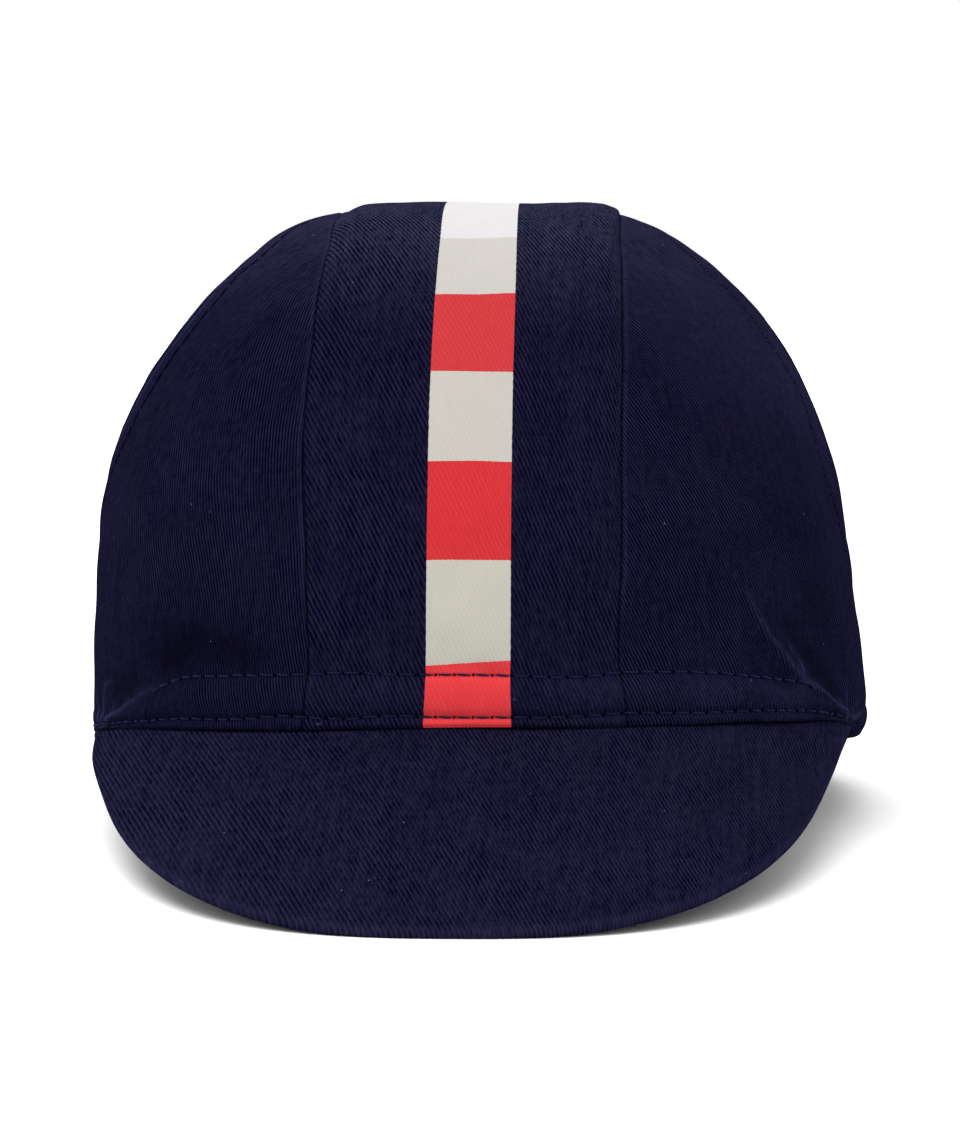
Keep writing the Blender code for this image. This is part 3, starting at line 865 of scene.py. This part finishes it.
def fine_ends(count):
    """Shares from 0 to 1 that lie closer together near both ends."""
    even = np.linspace(0, 1, count + 1)
    return even - FINE_ENDS * np.sin(2 * pi * even)


def grid(across, along):
    """All pairs of the two lists, with along as rows."""
    v, u = np.meshgrid(along, across, indexing="ij")
    return u.ravel(), v.ravel()


def add_object(name, data):
    made = bpy.data.objects.new(name, data)
    bpy.context.scene.collection.objects.link(made)
    return made


def add_mesh(name, points, faces, material, flat, marks=None):
    """Makes a piece that rides on the cap. flat is the cloth's own map, marks its values."""
    mesh = bpy.data.meshes.new(name)
    mesh.from_pydata(points.tolist(), [], [list(face) for face in faces])
    mesh.validate()
    work = bmesh.new()
    work.from_mesh(mesh)
    bmesh.ops.recalc_face_normals(work, faces=work.faces)
    work.to_mesh(mesh)
    work.free()
    corners = np.empty(len(mesh.loops), dtype=np.int64)
    mesh.loops.foreach_get("vertex_index", corners)
    layer = mesh.uv_layers.new(name="cloth")
    layer.data.foreach_set("uv", flat[corners].ravel().astype(np.float32))
    for key, values in (marks or {}).items():
        kind, field = ("FLOAT", "value") if values.ndim == 1 else ("FLOAT_VECTOR", "vector")
        layer = mesh.attributes.new(key, kind, "POINT")
        layer.data.foreach_set(field, values.ravel().astype(np.float32))
    mesh.materials.append(material)
    mesh.shade_smooth()
    piece = add_object(name, mesh)
    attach(piece, "root")
    return piece


def wall_faces(rows, columns, closed):
    """Faces of a wall of cloth: its outside, its inside and its rims."""
    index = np.arange(rows * columns).reshape(rows, columns)
    if closed:
        index = np.concatenate([index, index[:, :1]], axis=1)
    back = index + rows * columns
    rims = [(index[0], back[0]), (index[-1], back[-1])]
    if not closed:
        rims += [(index[:, 0], back[:, 0]), (index[:, -1], back[:, -1])]
    sides = [
        np.stack([side[:-1, :-1], side[:-1, 1:], side[1:, 1:], side[1:, :-1]], axis=-1)
        for side in (index, back)
    ]
    faces = [sides[0].reshape(-1, 4), sides[1].reshape(-1, 4)[:, ::-1]]
    for near, far in rims:
        faces.append(np.stack([near[:-1], near[1:], far[1:], far[:-1]], axis=-1))
    return np.concatenate(faces)


def add_wall(node, kind, outer, inner, size, material, flat, marks, closed=False):
    """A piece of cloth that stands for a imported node. size is its columns and rows."""
    both = {key: np.concatenate([values, values]) for key, values in marks.items()}
    both["reverse"] = np.repeat([0.0, 1.0], len(outer))
    columns, rows = size
    piece = add_mesh(f"{node}_{kind}", at_rest(np.concatenate([outer, inner])),
                     wall_faces(rows, columns, closed), material,
                     np.concatenate([flat, flat]), both)
    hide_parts(node)


def hidden_rows(turn):
    """Where the cloth folds over the lower and the upper row: 1 hides the stitches."""
    return between(turn, HIDDEN_LOWER), sum(between(turn, turns) for turns in HIDDEN_UPPER)


# How many stitches lie between the back and each turn
ROW_TURNS = np.linspace(-180, 180, ROW_STEPS + 1)
ROW_LENGTHS = lengths_to(ring(ROW_TURNS, ROW_TURNS * 0))
ROW_STITCHES = round(ROW_LENGTHS[-1] / STITCH)
ROW_COUNTS = ROW_LENGTHS / ROW_LENGTHS[-1] * ROW_STITCHES


def row_marks(points):
    """The count of stitches, and heights above the lower and the upper row."""
    turn = turn_of(points)
    heights = [points[:, 2] - row + hidden * HIDDEN_RISE
               for row, hidden in zip(row_heights(turn), hidden_rows(turn))]
    return stacked(np.interp(turn, ROW_TURNS, ROW_COUNTS), *heights)


def crown_wall(points, extra, seams):
    """Outside, inside and marks of a crown piece from its places on the form."""
    normals = outward(points)
    # The mark holds wear, painted light and painted shade
    total, wear_light_and_shade = crown_relief(points)
    total = total + extra
    hem = rolled(points[:, 2], CROWN_CLOTH / 2) * CROWN_CLOTH / 2
    outer = lifted(points, normals, total - hem)
    inner = lifted(points, normals, total - CROWN_CLOTH + hem)
    return outer, inner, {"wear_light_and_shade": wear_light_and_shade, "rows": row_marks(points), "seams": stacked(*seams)}


def build_strip(material):
    columns, rows = STRIP_GRID
    u, v = grid(fine_ends(columns) * 2 - 1, fine_ends(rows) * STRIP_LENGTH)
    half_width, middle, stripe = strip_shape(v)
    half_width = half_width + SEAM_OVERLAP / 2
    points = beside_middle(middle + u * half_width + stripe * (1 - np.abs(u)), v)
    rise = smooth(points[:, 2] / CROWN_HEIGHT)
    height, curl, reach = (by_side(u, values) for values in
                           (STRIP_EDGE_LIFT, STRIP_EDGE_CURL, STRIP_EDGE_FALL))
    lift = height * np.abs(u) ** curl * rise
    from_edge = (1 - np.abs(u)) * half_width
    fall = np.clip(1 - from_edge / reach, 0, 1) ** STRIP_FALL_CURL
    drop = rolled(from_edge, STRIP_ROLL) * SEAM_SINK + fall * height * rise
    far = np.full(len(u), FAR)
    outer, inner, marks = crown_wall(points, lift - drop, (far, far, from_edge))
    add_wall("centre_strip", "cloth", outer, inner, (columns + 1, rows + 1),
             material, stacked(u * half_width, v), marks)


def flat_map(points, centre, stretched):
    """The cloth's own map around a point of the form, stretched towards one side."""
    normal = outward(centre)[0]
    aside = np.cross([0, 0, 1], normal)
    aside /= np.linalg.norm(aside)
    away = points - centre
    x, y = away @ aside, away @ np.cross(normal, aside)
    length = sizes(away) / np.maximum(np.hypot(x, y), TINY)
    x = x * length
    return stacked(MAP_SCALE * x - stretched * MAP_STRETCH * x * x, y * length)


def build_panel(part, word, material):
    rear, side = part == "rear", SIDES[word]
    columns, rows = PANEL_GRIDS[part]
    shape, by_ear = side_panel(side, rear)
    u, v = grid(fine_ends(columns), fine_ends(rows))
    points = shape(u, v)
    half_width, middle, _ = strip_shape(along_of(points))
    from_strip = side * (points[:, 0] - middle) - half_width + SEAM_OVERLAP / 2
    from_ear = sizes(points - by_ear(v))
    above_casing = smooth((points[:, 2] / CASING_HEIGHT - 1) / 2)
    at_top = near_top(points[:, 2])
    below_top = above_casing * (1 - at_top)
    extra = -EAR_VALLEY[side] * np.exp(-from_ear / EAR_VALLEY_BREADTH) * below_top
    extra -= PANEL_TOP_DROP[side] * bell(from_strip, PANEL_TOP_BREADTH[side]) * at_top
    if rear:
        puff = bell(from_ear - REAR_PUFF_PLACE, REAR_PUFF_BREADTH)
        extra += REAR_PUFF[side] * puff * above_casing
    extra -= SEAM_SINK * np.maximum(rolled(from_strip, PANEL_ROLL), rolled(from_ear, PANEL_ROLL))
    fine = np.linspace(0, 1, PROFILE_STEPS)
    ear_count = np.interp(v, fine, lengths_to(by_ear(fine))) / SEAM_STITCH
    outer, inner, marks = crown_wall(points, extra, (ear_count, from_ear, from_strip))
    if rear:
        # Painted highlight on the rear panels' puffed rim
        marks["wear_light_and_shade"] += RIM_PAINTED_LIGHT[side] * bell(from_ear - RIM_PLACE, RIM_BREADTH) * below_top
    # Painted highlight beside the strip seam
    seam = bell(from_strip - SEAM_HIGHLIGHT_PLACE, SEAM_HIGHLIGHT_BREADTH)
    marks["wear_light_and_shade"] += SEAM_PAINTED_HIGHLIGHT * seam * above_casing
    centre = shape(np.array([0.5]), np.array([0.5]))
    add_wall(f"{part}_panel_{word}", "cloth", outer, inner,
             (columns + 1, rows + 1), material, flat_map(points, centre, -side if rear else side),
             marks)


def build_band(material):
    columns, rows = BAND_GRID
    turns = np.linspace(-180, 180, columns + 1)[:-1]
    turn, z = grid(turns, BAND_FOOT + (CASING_HEIGHT - BAND_FOOT) * fine_ends(rows))
    points = ring(turn, z)
    normals = outward(points)
    total = form_relief(points) + CASING_PUFF * arched(z / CASING_HEIGHT) - CROWN_CLOTH - BAND_GAP
    ends = np.minimum(z - BAND_FOOT, CASING_HEIGHT - z)
    hem = rolled(ends, BAND_CLOTH / 2) * BAND_CLOTH / 2
    nearest = np.minimum(*(np.abs(z - row) for row in row_heights(turn)))
    groove = BAND_GROOVE * bell(nearest, BAND_GROOVE_BREADTH)
    outer = lifted(points, normals, total - hem)
    inner = lifted(points, normals, total - BAND_CLOTH + hem + groove)
    marks = {"wear_light_and_shade": z * 0, "rows": row_marks(points), "seams": np.full_like(points, FAR)}
    add_wall("sweatband", "tape", outer, inner, (columns, rows + 1), material,
             stacked(np.radians(turn) * EDGE_BACK, z), marks, closed=True)


def peak_normals(across, ahead):
    """Unit normals of the peak's upper side."""
    inside = np.clip(across, ACROSS_STEP - 1, 1 - ACROSS_STEP)
    aside = peak_place(inside + ACROSS_STEP, ahead) - peak_place(inside - ACROSS_STEP, ahead)
    forward = peak_place(inside, ahead + STEP) - peak_place(inside, ahead - STEP)
    return unit(np.cross(forward, aside))


def build_peak(material):
    columns, rows = PEAK_GRID[0] + 1, PEAK_GRID[1] + 1
    u, share = grid(np.linspace(-1, 1, columns), fine_ends(PEAK_GRID[1]))
    across = np.sin(pi / 2 * u)
    x, inner_edge, outer_edge = peak_outline(across)
    length = np.maximum(inner_edge - outer_edge, PEAK_END)
    tuck = PEAK_TUCK + PEAK_END_TUCK * np.abs(across) ** PEAK_END_TUCK_POWER
    ahead = share * (length + tuck) - tuck
    points = peak_place(across, ahead)
    normals = peak_normals(across, ahead)
    slope = np.tile(np.gradient(outer_edge[:columns], x[:columns]), rows)
    from_rim = (length - ahead) / np.sqrt(1 + slope**2)
    from_edge = np.minimum(from_rim, PEAK_HALF * (1 - np.abs(across)))
    roll = rolled(from_edge, PEAK_ROLL)
    uneven = PEAK_UNEVEN * ripples(points, "peak") * smooth(from_edge / PEAK_UNEVEN_RUN)
    half_gap = SEAM_GAP / 2
    middle = uneven - PEAK_CLOTH - half_gap
    parting = half_gap * (1 - PEAK_RIM_CLOSING * roll)
    closing = (PEAK_CLOTH + half_gap - PEAK_RIM_HALF) * roll
    levels = {
        "peak_top": (uneven - closing, middle + parting),
        "peak_underside": (middle - parting, middle - half_gap - PEAK_CLOTH + closing),
    }
    down = ahead * peak_slope(across) / sin(radians(PEAK_DROP_ANGLE))
    flat = stacked(points[:, 0] + PEAK_MAP_STRETCH * points[:, 0] ** 2, -down)
    far = np.full_like(points, FAR)
    marks = {
        "wear_light_and_shade": PEAK_WORN * bell(from_edge - PEAK_WORN_PLACE, PEAK_WORN_BREADTH),
        "rows": far,
        # Distance ahead of the crown's edge: the seam shade paints a shadow under the crown's hem
        # onto the peak
        "seams": stacked(far[:, 0], far[:, 0], ahead),
    }
    for node, (upper, lower) in levels.items():
        upper = np.maximum(upper, lower + PEAK_THINNEST)
        add_wall(node, "cloth", points + normals * upper[:, None],
                 points + normals * lower[:, None], (columns, rows), material, flat, marks)


def add_stitches(name, line, normals, material):
    """A row of thread stitches along a closed line, lying on the side that normals point to."""
    def at_stitches(values):
        return np.stack([np.interp(at, ROW_COUNTS, column) for column in values.T], axis=-1)

    draw = np.random.default_rng(THREAD_SEED)
    part = np.linspace(0, 1, THREAD_SAMPLES)
    at = np.arange(ROW_STITCHES)[:, None] + STITCH_GAP / 2 + (1 - STITCH_GAP) * part
    arch = np.sin(pi * part) ** THREAD_ARCH_POWER
    rise = THREAD_RADIUS * (THREAD_DIP + THREAD_RISE * arch)
    rise = rise * draw.uniform(*THREAD_UNEVEN, (ROW_STITCHES, 1))
    radius = THREAD_RADIUS * blend(arch, THREAD_TAPER, 1)
    tilt = (part - 0.5) * draw.normal(*THREAD_TILT, (ROW_STITCHES, 1))
    tilt = tilt + draw.normal(0, THREAD_SHIFT, (ROW_STITCHES, 1))
    centre, up = at_stitches(line), at_stitches(normals)
    aside = unit(np.cross(unit(np.gradient(centre, axis=1)), up))
    centre = centre + up * rise[..., None] + aside * tilt[..., None]
    round_angle = 2 * pi * np.arange(THREAD_SIDES) / THREAD_SIDES
    spoke = (aside[:, :, None] * np.cos(round_angle)[:, None]
             + up[:, :, None] * np.sin(round_angle)[:, None])
    points = centre[:, :, None] + spoke * radius[:, None, None]
    index = np.arange(points[..., 0].size).reshape(points.shape[:3])
    nearby = np.roll(index, -1, axis=2)
    sides = np.stack([index[:, :-1], nearby[:, :-1], nearby[:, 1:], index[:, 1:]], axis=-1)
    faces = sides.reshape(-1, 4).tolist()
    faces += index[:, 0, ::-1].tolist() + index[:, -1].tolist()
    along = np.interp(at, ROW_COUNTS, lengths_to(line))[:, :, None] + round_angle * 0
    around = round_angle / (2 * pi) + along * 0
    piece = add_mesh(name, at_rest(points.reshape(-1, 3)), faces, material,
                     stacked(around.ravel(), along.ravel()))


def build_stitches(material):
    """Both rows, on the outside of the casing and on the inside of the sweatband."""
    rows = zip(("lower", "upper"), row_heights(ROW_TURNS), hidden_rows(ROW_TURNS))
    for word, heights, hidden in rows:
        points = ring(ROW_TURNS, heights)
        normals = outward(points)
        line = lifted(points, normals, crown_relief(points)[0] - STITCH_SINK * hidden)
        add_stitches(f"{word}_row_stitches", line, normals, material)
        depth = CROWN_CLOTH + BAND_GAP + BAND_CLOTH - BAND_GROOVE
        total = form_relief(points) + CASING_PUFF * arched(heights / CASING_HEIGHT) - depth
        line = lifted(points, normals, total)
        add_stitches(f"{word}_row_back_stitches", line, -normals, material)


def adds(operation):
    """An operator that adds a node of mathematics."""
    return lambda value, other=0: value.shader.math(operation, value, other)


class Value:
    """A value in a material. Calculating with it adds nodes."""

    __add__, __sub__, __abs__ = adds("ADD"), adds("SUBTRACT"), adds("ABSOLUTE")
    __mul__, __truediv__ = adds("MULTIPLY"), adds("DIVIDE")

    def __init__(self, shader, socket):
        self.shader = shader
        self.socket = socket


class Shader:
    """A material whose nodes are added by plain calls."""

    def __init__(self, name, roughness, sheen):
        self.material = bpy.data.materials.new(name)
        self.material.use_nodes = True
        self.tree = self.material.node_tree
        self.surface = self.tree.nodes["Principled BSDF"]
        settings = {"Roughness": roughness, "Specular IOR Level": 0, "Sheen Weight": sheen,
                    "Sheen Roughness": SHEEN_ROUGHNESS, "Sheen Tint": SHEEN}
        for key, value in settings.items():
            self.surface.inputs[key].default_value = value

    def node(self, kind, sockets=None, output=0, **settings):
        made = self.tree.nodes.new(kind)
        for key, value in settings.items():
            setattr(made, key, value)
        for key, value in (sockets or {}).items():
            if isinstance(value, Value):
                self.tree.links.new(value.socket, made.inputs[key])
            else:
                made.inputs[key].default_value = value
        return Value(self, made.outputs[output])

    def math(self, operation, first, second=0):
        return self.node("ShaderNodeMath", {0: first, 1: second}, operation=operation)

    def wave(self, periods):
        return self.math("SINE", periods * (2 * pi))

    def most(self, first, *others):
        for other in others:
            first = self.math("MAXIMUM", first, other)
        return first

    def noise(self, vector, scale, detail=2):
        return self.node("ShaderNodeTexNoise",
                         {"Vector": vector, "Scale": scale, "Detail": detail})

    def ease(self, value, low, high, start=0, end=1):
        return self.node("ShaderNodeMapRange",
                         {"Value": value, "From Min": low, "From Max": high,
                          "To Min": start, "To Max": end}, interpolation_type="SMOOTHSTEP")

    def mix(self, share, first, second, blend="MIX"):
        return self.node("ShaderNodeMix", {0: share, 6: first, 7: second}, 2,
                         data_type="RGBA", blend_type=blend)

    def join(self, x, y, z=0):
        return self.node("ShaderNodeCombineXYZ", {0: x, 1: y, 2: z})

    def split(self, vector):
        first = self.node("ShaderNodeSeparateXYZ", {0: vector})
        return [Value(self, output) for output in first.socket.node.outputs]

    def attribute(self, name, output):
        return self.node("ShaderNodeAttribute", None, output, attribute_name=name)

    def cloth_map(self):
        return self.node("ShaderNodeUVMap", uv_map="cloth")

    def place(self):
        return self.node("ShaderNodeTexCoord", None, "Object")

    def finish(self, colour, height):
        bump = self.node("ShaderNodeBump", {"Height": height, "Strength": 1, "Distance": 1})
        self.tree.links.new(colour.socket, self.surface.inputs["Base Color"])
        self.tree.links.new(bump.socket, self.surface.inputs["Normal"])
        return self.material


def twill(shader, rib_angle, pitch, rib_strength):
    """The weave: slanting ribs of short floats of the warp. Gives the map, tone and height."""
    uv = shader.cloth_map()
    u, v, _ = shader.split(uv)
    turn = radians(rib_angle)
    lean = turn - radians(RIB_ANGLE)
    sway = shader.noise(uv, SWAY_GRAIN) * (RIB_SWAY / pitch)
    across = u * (sin(turn) / pitch) - v * (cos(turn) / pitch) + sway
    thread = u * (cos(lean) / WARP_PITCH) + v * (sin(lean) / WARP_PITCH)
    rib, yarn = shader.wave(across), shader.wave(thread)
    floats = shader.join(shader.math("FLOOR", thread), shader.math("FLOOR", across))
    slubs = shader.join(thread * SLUB_GRAIN[0], across * SLUB_GRAIN[1])
    wefts = shader.join(u * WEFT_GRAIN, v / WEFT_PITCH)
    textures = {
        "float": shader.node("ShaderNodeTexWhiteNoise", {"Vector": floats}, "Value"),
        "slub": shader.noise(slubs, 1),
        "weft": shader.noise(wefts, 1),
    }
    for name in ("fuzz", "patch", "mottle", "clear"):
        textures[name] = shader.noise(uv, *GRAINS[name])
    clear = shader.ease(textures["clear"], *CLEAR_RIBS)
    tone = rib * clear * rib_strength + yarn * YARN_TONE + PLAIN_TONE
    for name, strength in TEXTURES.items():
        tone = tone + (textures[name] - 0.5) * strength
    height = rib * (WEAVE_RELIEF / 2) + yarn * (WEAVE_RELIEF / 8)
    height = height + textures["fuzz"] * (WEAVE_RELIEF / 3)
    return uv, u, v, shader.math("MAXIMUM", tone, 0), height


def stitch_holes(shader):
    """Painted shade in the needle holes and along the rows, where the cloth is drawn in."""
    count, *rows = shader.split(shader.attribute("rows", "Vector"))
    aside = (shader.math("FRACT", count + 0.5) - 0.5) * STITCH
    dark = []
    for height in rows:
        away = shader.math("SQRT", aside * aside + height * height)
        dark.append(shader.ease(away, *NEEDLE_HOLE))
        dark.append(shader.ease(abs(height), *ROW_LINE))
    return shader.most(*dark)


def seam_shade(shader, ear_shade=1):
    """Painted shade of the cloth drawn into the seams, with the ear seams' stitches."""
    count, from_ear, from_strip = shader.split(shader.attribute("seams", "Vector"))
    uneven = shader.noise(shader.cloth_map(), *GRAINS["seam"])
    strip_breadth, ear_breadth = (uneven * more + least
                                  for least, more in (STRIP_LINE_BREADTH, EAR_LINE_BREADTH))
    strip_line = shader.ease(from_strip / strip_breadth, *STRIP_LINE)
    dash = shader.ease(abs(shader.math("FRACT", count) - 0.5), *EAR_DASH)
    ear_line = shader.ease(from_ear / ear_breadth, *EAR_LINE, ear_shade, 0)
    return shader.most(strip_line, ear_line * dash)


def navy(shader, uv, tone):
    """Dyed yarn: furrows and crests, a painted top light, wear with painted light and painted
    shade, and a few pale specks of lint.
    """
    colour = shader.mix(tone, FURROW, CREST)
    height = shader.split(shader.place())[2]
    # Painted top light, lighter with height
    colour = shader.mix(shader.ease(height, *TOP_LIGHT_RISE) * tone, colour, PAINTED_TOP_LIGHT)
    wear_light_and_shade = shader.attribute("wear_light_and_shade", "Fac")
    patchy = shader.ease(shader.noise(uv, *GRAINS["patchy"]), *PATCHY)
    # Wear and painted light, in patches
    colour = shader.mix(wear_light_and_shade * patchy, colour, WEAR_AND_PAINTED_LIGHT)
    # Painted shade where the mark is below 0
    colour = shader.mix(wear_light_and_shade * -1, colour, PAINTED_SHADE)
    cells = shader.node("ShaderNodeTexVoronoi", {"Vector": uv, "Scale": SPECK_SCALE}, "Distance")
    number = shader.split(Value(shader, cells.socket.node.outputs["Color"]))[0]
    chosen = shader.ease(number, *SPECK_CHOICE)
    return shader.mix(shader.ease(cells, *SPECK_SIZE) * chosen, colour, SPECK)


def cloth_material(name, rib_angle, shade, pitch=RIB_PITCH, rib_strength=0.30, ear_shade=1):
    shader = Shader(name, *CLOTH_FINISH)
    uv, _, _, tone, height = twill(shader, rib_angle, pitch, rib_strength)
    colour = navy(shader, uv, tone * shade)
    # Painted shade of needle holes, rows and seams
    dark = shader.most(stitch_holes(shader), seam_shade(shader, ear_shade))
    return shader.finish(shader.mix(dark, colour, PAINTED_SHADE), height)


def block_colours(shader, length):
    """The stripe's blocks along its length, again and again."""
    ramp = shader.node("ShaderNodeValToRGB",
                       {0: shader.math("FRACT", length / (BLOCK * len(BLOCKS)))})
    colours = ramp.socket.node.color_ramp
    colours.interpolation = "CONSTANT"
    while len(colours.elements) < len(BLOCKS):
        colours.elements.new(0.5)
    for number, colour in enumerate(BLOCKS):
        colours.elements[number].position = number / len(BLOCKS)
        colours.elements[number].color = colour
    return ramp


def strip_material(name, rib_angle, rib_strength):
    """The twill with its printed stripe."""
    shader = Shader(name, *CLOTH_FINISH)
    uv, u, v, tone, height = twill(shader, rib_angle, RIB_PITCH, rib_strength)
    slant = u * FIRST_SLANT * shader.ease(v, FIRST_BLOCK, SLANT_REACH, 1, 0)
    ragged = shader.noise(uv, *GRAINS["ragged"]) - 0.5
    printed = block_colours(shader, v + slant + ragged * BLOCK_RAGGED + (BLOCK - FIRST_BLOCK))
    shade = shader.ease(tone, *PRINT_SHADE)
    printed = shader.mix(1, printed, shader.join(shade, shade, shade), "MULTIPLY")
    printed = shader.mix(shader.ease(tone, *PRINT_CHALK), printed, CHALK)
    edge = abs(u * shader.ease(v, *STRIPE_FOOT) * shader.ease(v, *STRIPE_TOP))
    edge = edge + (tone - PLAIN_TONE) * STRIPE_BLUR + ragged * STRIPE_RAGGED
    inside = shader.ease(edge, STRIPE_HALF_WIDTH - STRIPE_BLUR, STRIPE_HALF_WIDTH + STRIPE_BLUR,
                         1, 0)
    inside = inside * shader.ease(shader.attribute("reverse", "Fac"), *FACE_SIDE)
    colour = shader.mix(inside, navy(shader, uv, tone), printed)
    # Painted shade of needle holes, rows and seams
    colour = shader.mix(shader.most(stitch_holes(shader), seam_shade(shader)), colour, PAINTED_SHADE)
    return shader.finish(colour, height * shader.ease(inside, *PRINT_FLATTENING))


def thread_material():
    """Twisted polyester thread."""
    shader = Shader("thread", *THREAD_FINISH)
    around, along, _ = shader.split(shader.cloth_map())
    ply = shader.wave(along / THREAD_TWIST + around * THREAD_PLIES)
    fuzz = shader.noise(shader.join(around, along * THREAD_GRAIN[0]), THREAD_GRAIN[1])
    colour = shader.mix(ply * THREAD_TONE + fuzz, THREAD_FURROW, THREAD)
    return shader.finish(colour, ply * THREAD_RELIEF)


def add_stage():
    """A pale floor, soft light from everywhere and two large soft lights."""
    mesh = bpy.data.meshes.new("floor")
    corners = [(x * FLOOR_REACH, y * FLOOR_REACH, 0)
               for x, y in ((-1, -1), (1, -1), (1, 1), (-1, 1))]
    mesh.from_pydata(corners, [], [(0, 1, 2, 3)])
    floor = add_object("floor", mesh)
    paper = Shader("floor_paper", FLOOR_ROUGHNESS, 0)
    grain = paper.noise(paper.place(), FLOOR_GRAIN)
    mesh.materials.append(paper.finish(paper.mix(grain, *PAPER), grain * FLOOR_RELIEF))

    world = bpy.data.worlds.new("studio")
    bpy.context.scene.world = world
    world.use_nodes = True
    background = world.node_tree.nodes["Background"].inputs
    background["Color"].default_value = WHITE
    background["Strength"].default_value = WORLD_LIGHT

    for name, place, breadth, strength in LIGHTS:
        light = bpy.data.lights.new(name, "SUN")
        light.angle = radians(breadth)
        light.energy = strength
        lamp = add_object(name, light)
        lamp.location = place
        lamp.rotation_euler = (-Vector(place)).to_track_quat("-Z", "Y").to_euler()


def add_camera():
    azimuth, elevation = radians(CAMERA_AZIMUTH), radians(CAMERA_ELEVATION)
    lens = bpy.data.cameras.new("camera")
    lens.sensor_fit = "HORIZONTAL"
    lens.sensor_width = SENSOR_WIDTH
    lens.lens = CAMERA_LENS
    camera = add_object("camera", lens)
    camera.rotation_euler = (pi / 2 - elevation, 0, azimuth)
    back = camera.rotation_euler.to_matrix() @ Vector((0, 0, CAMERA_DISTANCE))
    camera.location = Vector(CAMERA_TARGET) + back
    bpy.context.scene.camera = camera


def main():
    build_strip(strip_material("strip_twill", *STRIP_WEAVE))
    for part, word, *weave in PANELS:
        build_panel(part, word, cloth_material(f"{part}_{word}_twill", *weave))
    build_band(cloth_material("band_tape", *BAND_WEAVE))
    build_peak(cloth_material("peak_twill", *PEAK_WEAVE))
    build_stitches(thread_material())
    add_stage()
    add_camera()
    bpy.context.scene.view_settings.view_transform = "Standard"


main()
